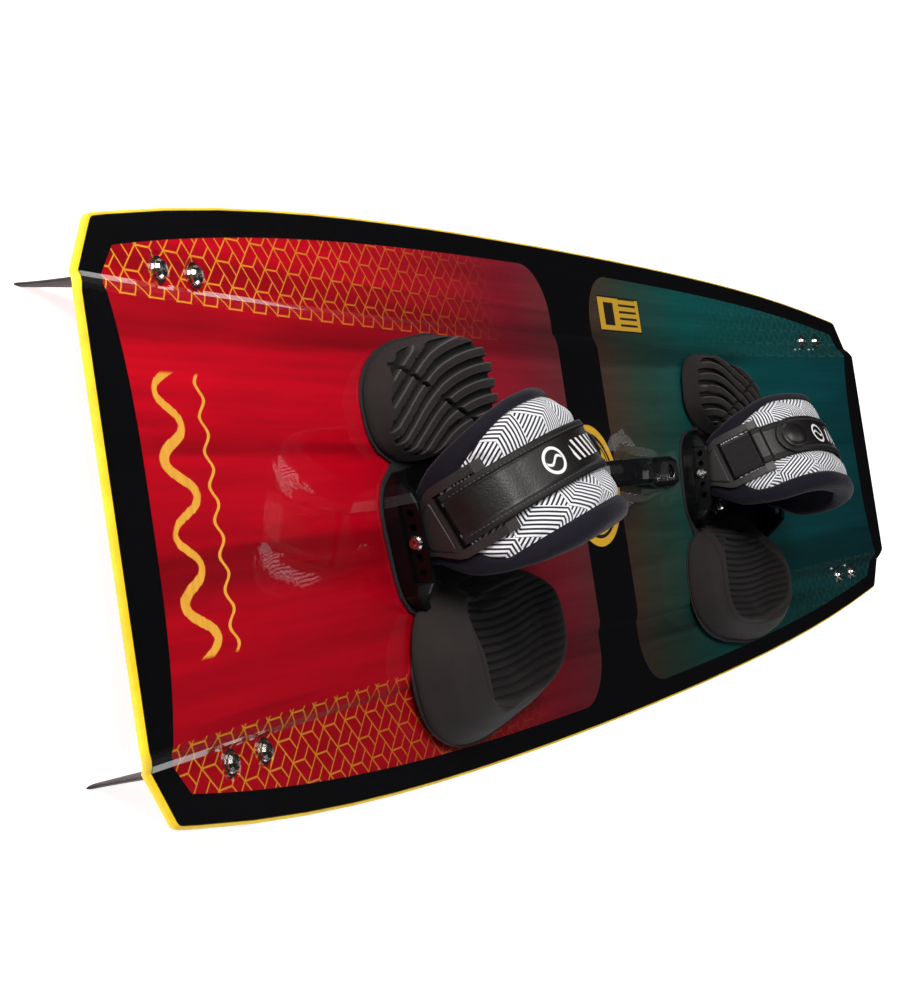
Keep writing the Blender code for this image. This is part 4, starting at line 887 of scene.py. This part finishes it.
# ------------------------------------------------------------ strap pieces
# half width of the cushion by distance from its nearer pivot
FRONT_HALVES = (
    (0.0, 0.0180), (0.010, 0.0290), (0.025, 0.0375), (0.040, 0.0420),
    (0.060, 0.0460), (0.080, 0.0500), (0.105, 0.0530),
)
REAR_HALVES = (
    (0.0, 0.0200), (0.010, 0.0330), (0.020, 0.0405),
    (0.040, 0.0480), (0.060, 0.0525), (0.075, 0.0530),
)
FRONT_SEAM = (0.0470, 0.0240, 0.040, 0.090)
REAR_SEAM = (0.0400, 0.0180, 0.026, 0.022)
END_ROUND = 0.0106


def strap_half(table, near):
    """Half width of the cushion at a distance from its nearer pivot, rounded off past it."""
    at, halves = zip(*table)
    steps = (-0.006, -0.003, 0.0, 0.003, 0.006)
    mean = np.mean([np.interp(np.maximum(near + k, 0.0), at, halves) for k in steps], axis=0)
    full = np.where(near > steps[-1], mean, np.interp(near, at, halves))
    foot = table[0][1] * np.sqrt(np.clip(1.0 - (near / END_ROUND) ** 2, 0.0, 1.0) + 1e-4)
    return np.where(near < 0.0, foot, full)


def seam_at(near, wide, grown, start, run):
    """Where the printed panel meets a rim: it widens from start over run."""
    return float(wide - grown * (1.0 - np.clip((near - start) / run, 0.0, 1.0)) ** 2)


def cushion_section(s, near, halves, through, counts):
    """Ring of (e, d) round the cushion: top, front rim, lining, rear rim."""
    top_count, rim_count, low_count = counts
    front_half, rear_half = halves
    grow = smooth01((near - 0.004) / 0.045)
    crown = smooth01((through - 0.16) / 0.20) * (1.0 - 0.45 * smooth01((through - 0.50) / 0.25))
    front_r = min(0.0050 + 0.0018 * grow, front_half * 0.45)
    rear_r = min(0.0056 + 0.0044 * crown, rear_half * 0.45)
    reach = 0.0045 * crown
    front_seam = max(min(seam_at(near, *FRONT_SEAM), front_half - 1.3 * front_r), 0.0)
    rear_seam = max(min(seam_at(near, *REAR_SEAM), rear_half - 1.3 * rear_r), 0.0)
    e = np.linspace(-rear_seam, front_seam, top_count)
    inner = 0.0195 + 0.0085 * (1.0 - smooth01((near - 0.060) / 0.012))
    seam = np.where(e > 0.0, front_seam, rear_seam)
    u = np.clip((np.abs(e) - inner) / np.maximum(seam - inner, 0.001), 0.0, 1.0)
    room = smooth01((seam - inner) / 0.006)
    puff = 0.0026 * grow * room * np.sin(math.pi * u) ** 0.7
    folds = np.sin(s * 210.0 + 3.0 * np.sin(e * 90.0))
    wrinkle = 0.00030 * grow * folds * np.sin(math.pi * u)
    d = -0.0001 + puff + wrinkle - 0.0009 * grow * smooth01((u - 0.88) / 0.12) * room
    ring = list(zip(e, d))
    sides = ((1.0, front_seam, front_r, front_half), (-1.0, rear_seam, rear_r, rear_half + reach))
    for sign, seam_e, r, limit in sides:
        proud = 0.0004 + 0.0018 * grow
        centre_e, centre_d = limit - r, -r + proud
        arc = [math.radians(a) for a in np.linspace(100.0, -96.0, rim_count)]
        roll = [(centre_e + r * math.cos(a), centre_d + r * math.sin(a)) for a in arc]
        swell = [seam_e + (roll[0][0] - seam_e) * k for k in (0.08, 0.22, 0.45, 0.72)]
        lift = [-0.0004, 0.0004 * grow, 0.0016 * grow, 0.0022 * grow]
        edge = [(sign * a, b) for a, b in zip(swell, lift)]
        edge += [(sign * a, b) for a, b in roll]
        if sign > 0:
            ring += edge
            low = np.linspace(roll[-1][0] - 0.001, -(rear_half - rear_r - 0.001), low_count)
            ring += [(a, -STRAP_THICK - 0.0005 * math.cos(a * 28.0) * grow) for a in low]
        else:
            ring += edge[::-1]
    return ring


def strap_cushion(binding, arch, cover, neoprene):
    """Padded strap: printed panels either side of the band between rolled rims."""
    ends = (-0.0105, -0.0098, -0.0085, -0.0068, -0.0048, -0.0024)
    middle = np.linspace(0.0, arch.total, 170)
    s = np.concatenate((ends, middle, [arch.total - v for v in reversed(ends)]))
    near = np.minimum(s, arch.total - s)
    halves = np.stack((strap_half(FRONT_HALVES, near), strap_half(REAR_HALVES, near)), axis=-1)
    counts = (49, 15, 15)
    rings = []
    for value, close, wide in zip(s, near, halves):
        rings.append(cushion_section(value, close, wide, value / arch.total, counts))
    section = np.array(rings)
    e, d = section[..., 0], section[..., 1]
    column = s[:, None] + 0.0 * e
    # the front of the inner half closes in over the toes
    turned = smooth01((column / arch.total - 0.42) / 0.22) * smooth01((e - 0.019) / 0.034)
    drop = 0.0105 * turned * (1.0 - smooth01((column / arch.total - 0.90) / 0.08))
    grid = arch.place(binding, column, e, d - drop)
    uv = np.stack((column, e), axis=-1)

    def pick(i, j):
        return 0 if j < counts[0] - 1 and near[i] > 0.0265 else 1

    return grid_object(f"strap_cushion_{binding.side}", grid, uv, [cover, neoprene], pick=pick)


def ribbon(binding, arch, name, stations, half, low, high, material, crown=None):
    """Flat strap: half width, underside and top for all stations or for each."""
    stations = np.asarray(stations)
    across = np.linspace(-1.0, 1.0, RIBBON_COLS)
    rounded = (np.abs(across) - 0.955).clip(0.0) / 0.045
    soft = 0.00045 * (1.0 - np.sqrt(np.clip(1.0 - rounded ** 2, 0.0, 1.0)))
    rows = []
    for s, wide, under, over in np.broadcast(stations, half, low, high):
        e = across * wide
        top = over + (crown(s, e) if crown else 0.0)
        rows.append((np.concatenate((e, e[::-1])), np.concatenate((top - soft, under + soft))))
    e, d = np.array(rows).transpose(1, 0, 2)
    uv = np.stack(np.broadcast_arrays(stations[:, None], e), axis=-1)
    return grid_object(name, arch.place(binding, stations[:, None], e, d), uv, [material])


def closure_band(binding, arch, leather):
    """Under layer of the closure, between the two tabs' slots."""
    start = TAB_SLOT[0] + 0.0015
    stations = np.linspace(start, arch.total - start, 90)
    name = f"closure_band_{binding.side}"
    return ribbon(binding, arch, name, stations, BAND_HALF, GAP, GAP + BAND_THICK - 0.0004, leather)


def flap_lift(s):
    """Height of the flap's underside: on the band, and up over the outer tab's bar."""
    seat = BAND_THICK + 2.0 * GAP
    over = TAB_THICK + 0.0004 + GAP
    rise = smooth01((s - TAB_SLOT[0] - 0.006) / 0.020)
    fall = 1.0 - smooth01((s - TAB_END - 0.002) / 0.018)
    return seat + (over - seat) * np.minimum(rise, fall)


def closure_flap(binding, arch, leather):
    """Upper leaf with a raised border, a rounded tongue and a domed grip."""
    low, high = TAB_SLOT[0] + FLAP_START, arch.total - FLAP_TAIL
    straight = high - BAND_HALF
    stations = list(np.linspace(low, straight, 110))
    stations += [straight + BAND_HALF * math.sin(a) for a in np.linspace(0.06, math.pi / 2.0 - 0.05, 22)]
    stations = np.array(stations)
    past = np.clip((stations - straight) / BAND_HALF, 0.0, 1.0)
    half = BAND_HALF * np.sqrt(np.clip(1.0 - past ** 2, 0.0, 1.0))
    lift = flap_lift(stations)
    bump_s = straight - 0.0010

    def crown(s, e):
        beyond = max(0.0, s - straight)
        dist = np.hypot(beyond, e)
        u = np.clip((dist - (BAND_HALF - 0.0060)) / 0.0012, 0.0, 1.0)
        dome = np.clip(1.0 - ((s - bump_s) ** 2 + e ** 2) / 0.0112 ** 2, 0.0, 1.0)
        return 0.00105 * smooth01(u) + 0.0034 * dome ** 0.55

    name = f"closure_flap_{binding.side}"
    return ribbon(binding, arch, name, stations, half, lift, lift + FLAP_THICK - 0.0004, leather, crown)


def hook_patch(binding, arch, hook):
    """Hook-and-loop patch in the inner tab's slot."""
    stations = np.linspace(arch.total - TAB_SLOT[1] + 0.0012, arch.total - TAB_SLOT[0] - 0.0030, 24)
    return ribbon(binding, arch, f"hook_patch_{binding.side}", stations, 0.0172, 0.0014, 0.0024, hook)


def bar_loop(binding, arch, leather):
    """Leather loop over the inner tab's cross bar."""
    low, high = arch.total - TAB_END - 0.0032, arch.total - TAB_SLOT[1] + 0.0012
    stations = np.linspace(low, high, 26)
    swell = smooth01((stations - low) / 0.0030) * smooth01((high - stations) / 0.0022)
    top = 0.0023 + 0.0036 * swell
    return ribbon(binding, arch, f"bar_loop_{binding.side}", stations, 0.0183, 0.00185, top, leather)


def tab_panel(binding, arch, end, plastic):
    """Raised panel moulded on the root of a tab."""
    stations = np.linspace(0.0030, 0.0188, 20)
    u = (stations - stations[0]) / (stations[-1] - stations[0])
    root = np.sqrt(np.clip(1.0 - np.clip(1.0 - u * 7.0, 0.0, 1.0) ** 2, 0.02, 1.0))
    close = np.sqrt(np.clip(1.0 - np.clip(u * 9.0 - 8.0, 0.0, 1.0) ** 2 * 0.25, 0.02, 1.0))
    half = (0.0098 + 0.0098 * u) * (0.72 + 0.28 * root) * close
    place = stations if end == "outer" else arch.total - stations
    face = GAP + TAB_THICK
    name = f"tab_panel_{end}_{binding.side}"
    return ribbon(binding, arch, name, place, half, face - 0.0012, face + 0.0007, plastic)


def flap_stitches(binding, arch, thread):
    """Two rows of short thread loops along the flap."""
    length, wide, tall = 0.0010, 0.00030, 0.00028
    name = f"flap_stitches_{binding.side}"
    verts, faces = [], []
    stations = np.arange(0.0330, arch.total - FLAP_TAIL - BAND_HALF, 0.0031)
    for e in (-BAND_HALF + 0.0040, BAND_HALF - 0.0040):
        for s in stations:
            base = len(verts)
            height = float(flap_lift(s)) + FLAP_THICK + 0.00052
            for a, keep in ((-1.0, 0.35), (-0.6, 1.0), (0.6, 1.0), (1.0, 0.35)):
                for b, c in ((-1, -1), (1, -1), (1, 1), (-1, 1)):
                    d = height + (tall * keep if c > 0 else -0.0002)
                    verts.append(tuple(arch.place(binding, s + a * length, e + b * wide * keep, d)))
            for k in range(3):
                for q in range(4):
                    n = (q + 1) % 4
                    low, high = base + 4 * k, base + 4 * k + 4
                    faces.append((low + q, low + n, high + n, high + q))
            faces.append((base + 3, base + 2, base + 1, base))
            faces.append((base + 12, base + 13, base + 14, base + 15))
    mesh = bpy.data.meshes.new(name)
    mesh.from_pydata(verts, [], faces)
    mesh.materials.append(thread)
    return smooth_object(name, mesh)


def make_binding(side, looks):
    binding = Binding(side)
    arch = Arch()
    body, strap, flap = f"binding_{side}", f"strap_{side}", f"flap_{side}"
    leather = looks["leather"]
    for make, node in ((heel_bed, "heel_bed"), (toe_bed, "toe_bed")):
        obj = make(binding, looks["foam"])
        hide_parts(f"{node}_{side}")
        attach(obj, body)
    cushion = strap_cushion(binding, arch, looks["cover"], looks["neoprene"])
    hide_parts(f"strap_pad_{side}")
    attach(cushion, strap)
    band = closure_band(binding, arch, leather)
    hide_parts(f"band_{side}")
    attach(band, strap)
    closure = closure_flap(binding, arch, looks[f"flap_{side}"])
    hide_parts(f"flap_{side}")
    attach(closure, flap)
    extras = (
        (hook_patch(binding, arch, looks["hook"]), "band_leatherette", strap),
        (bar_loop(binding, arch, leather), "band_leatherette", strap),
        (tab_panel(binding, arch, "outer", looks["tab"]), "tab_plastic", strap),
        (tab_panel(binding, arch, "inner", looks["tab"]), "tab_plastic", strap),
        (flap_stitches(binding, arch, looks["thread"]), "band_leatherette", flap),
    )
    for obj, slot, carrier in extras:
        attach(obj, carrier)


# first look whose prefix fits a CAD node's name
NODE_LOOKS = (
    (("deck_laminate",), "deck"), (("base_laminate",), "base"), (("edge_rail",), "rail"),
    (("board_core",), "wood"),
    (("fin_screw", "fin_washer", "pad_screw", "clamp_plate", "tab_screw"), "steel"),
    (("fin_",), "fin"), (("handle_screw",), "black_steel"), (("handle_insert", "pad_insert"), "brass"),
    (("handle_grip",), "handle"), (("chassis",), "chassis"), (("sole",), "rubber"), (("tab_",), "tab"),
)


def dress_nodes(looks):
    """Give each carried-over CAD node its material."""
    for name, obj in NODES.items():
        found = [look for starts, look in NODE_LOOKS if name.startswith(starts)]
        if not found:
            continue
        if not obj.material_slots:
            obj.data.materials.append(looks[found[0]])
        for slot in obj.material_slots:
            slot.material = looks[found[0]]


# ------------------------------------------------------------ studio
def add_area(name, place, target, size, power, colour):
    lamp = bpy.data.lights.new(name, "AREA")
    lamp.shape = "RECTANGLE"
    lamp.size, lamp.size_y = size
    lamp.energy = power
    lamp.color = colour
    obj = linked(name, lamp)
    obj.location = place
    obj.rotation_euler = (Vector(target) - Vector(place)).to_track_quat("-Z", "Y").to_euler()


def make_world():
    """Cool fill light, dim in mirrors and pale behind the object."""
    world = bpy.data.worlds.new("studio")
    bpy.context.scene.world = world
    world.use_nodes = True
    nodes, links = world.node_tree.nodes, world.node_tree.links
    nodes.clear()

    def background(colour, strength):
        made = nodes.new("ShaderNodeBackground")
        made.inputs["Color"].default_value = (*colour, 1.0)
        made.inputs["Strength"].default_value = strength
        return made.outputs[0]

    ray = nodes.new("ShaderNodeLightPath")
    light = background((0.93, 0.96, 1.0), 0.22)
    others = (("Is Glossy Ray", (0.85, 0.92, 1.0), 0.018), ("Is Camera Ray", (0.8, 0.8, 0.8), 1.0))
    for kind, colour, strength in others:
        mixer = nodes.new("ShaderNodeMixShader")
        for sock, value in zip(mixer.inputs, (ray.outputs[kind], light, background(colour, strength))):
            links.new(value, sock)
        light = mixer.outputs[0]
    links.new(light, nodes.new("ShaderNodeOutputWorld").inputs[0])


def make_studio():
    make_world()
    for lamp in LAMPS:
        add_area(*lamp)
    net = Net("floor_look")
    tone = net.noise(3.0)
    floor_mat = net.shade(net.tint((0.93, 0.93, 0.93), 0.99 + tone * 0.02), 0.7)
    net.bsdf.inputs["Emission Color"].default_value = (1.0, 1.0, 1.0, 1.0)
    net.bsdf.inputs["Emission Strength"].default_value = 0.80
    mesh = bpy.data.meshes.new("floor")
    signs = ((-1, -1), (1, -1), (1, 1), (-1, 1))
    corners = [(a * FLOOR_SPAN, b * FLOOR_SPAN, -FLOOR_DROP) for a, b in signs]
    mesh.from_pydata(corners, [], [(0, 1, 2, 3)])
    mesh.materials.append(floor_mat)
    floor = linked("floor", mesh)


def make_camera():
    camera = bpy.data.cameras.new("camera")
    obj = linked("camera", camera)
    camera.sensor_fit = "AUTO"
    camera.sensor_width = SENSOR_MM
    camera.lens = SENSOR_MM * LENS_FACTOR
    tilt = math.radians(CAMERA_TILT_DEG)
    look = Vector((math.cos(tilt), 0.0, -math.sin(tilt)))
    side = Vector((0.0, 1.0, 0.0))
    basis = Matrix((look.cross(side), side, -look)).transposed()
    spin = Vector(CAMERA_SPIN)
    place = (Matrix.Rotation(spin.length, 3, spin.normalized()) @ basis).to_4x4()
    place.translation = Vector(CAMERA_PLACE)
    obj.matrix_world = place
    bpy.context.scene.camera = obj


def main():
    total = Arch().total
    flap = (0.0065, 0.0052, 0.0050)
    looks = {
        "deck": make_deck(),
        "base": make_base(),
        "rail": make_rail(),
        "wood": make_wood(),
        "fin": make_plastic("fin_look", (0.0040, 0.0040, 0.0044), 0.40, 700.0, 0.00008, shine=0.28),
        "handle": make_plastic("handle_look", (0.0030, 0.0030, 0.0038), 0.24, 500.0, 0.00003, 0.5),
        "chassis": make_plastic("chassis_look", (0.0022, 0.0020, 0.0024), 0.30, 480.0, 0.00003, shine=0.26),
        "tab": make_plastic("tab_look", (0.0170, 0.0130, 0.0135), 0.40, 800.0, 0.00008),
        "steel": make_metal("stainless_look", (0.72, 0.69, 0.65), 0.12, 0.5),
        "black_steel": make_metal("black_steel_look", (0.035, 0.035, 0.038), 0.30, 0.3),
        "brass": make_metal("brass_look", (0.72, 0.53, 0.22), 0.22, 0.4),
        "rubber": make_rubber(),
        "foam": make_foam(),
        "cover": make_cover(),
        "neoprene": make_neoprene(),
        "leather": make_leather("leather_look", (0.0060, 0.0048, 0.0046), 0.38),
        "flap_left": make_leather("flap_left_look", flap, 0.34, (0.106, 0.127, 0.170)),
        "flap_right": make_leather("flap_right_look", flap, 0.34, (total - 0.128, 0.096, 0.140)),
        "hook": make_hook(),
        "thread": make_thread(),
    }
    dress_nodes(looks)
    for side in ("left", "right"):
        make_binding(side, looks)
    make_studio()
    make_camera()
    bpy.context.scene.view_settings.view_transform = "Standard"


main()
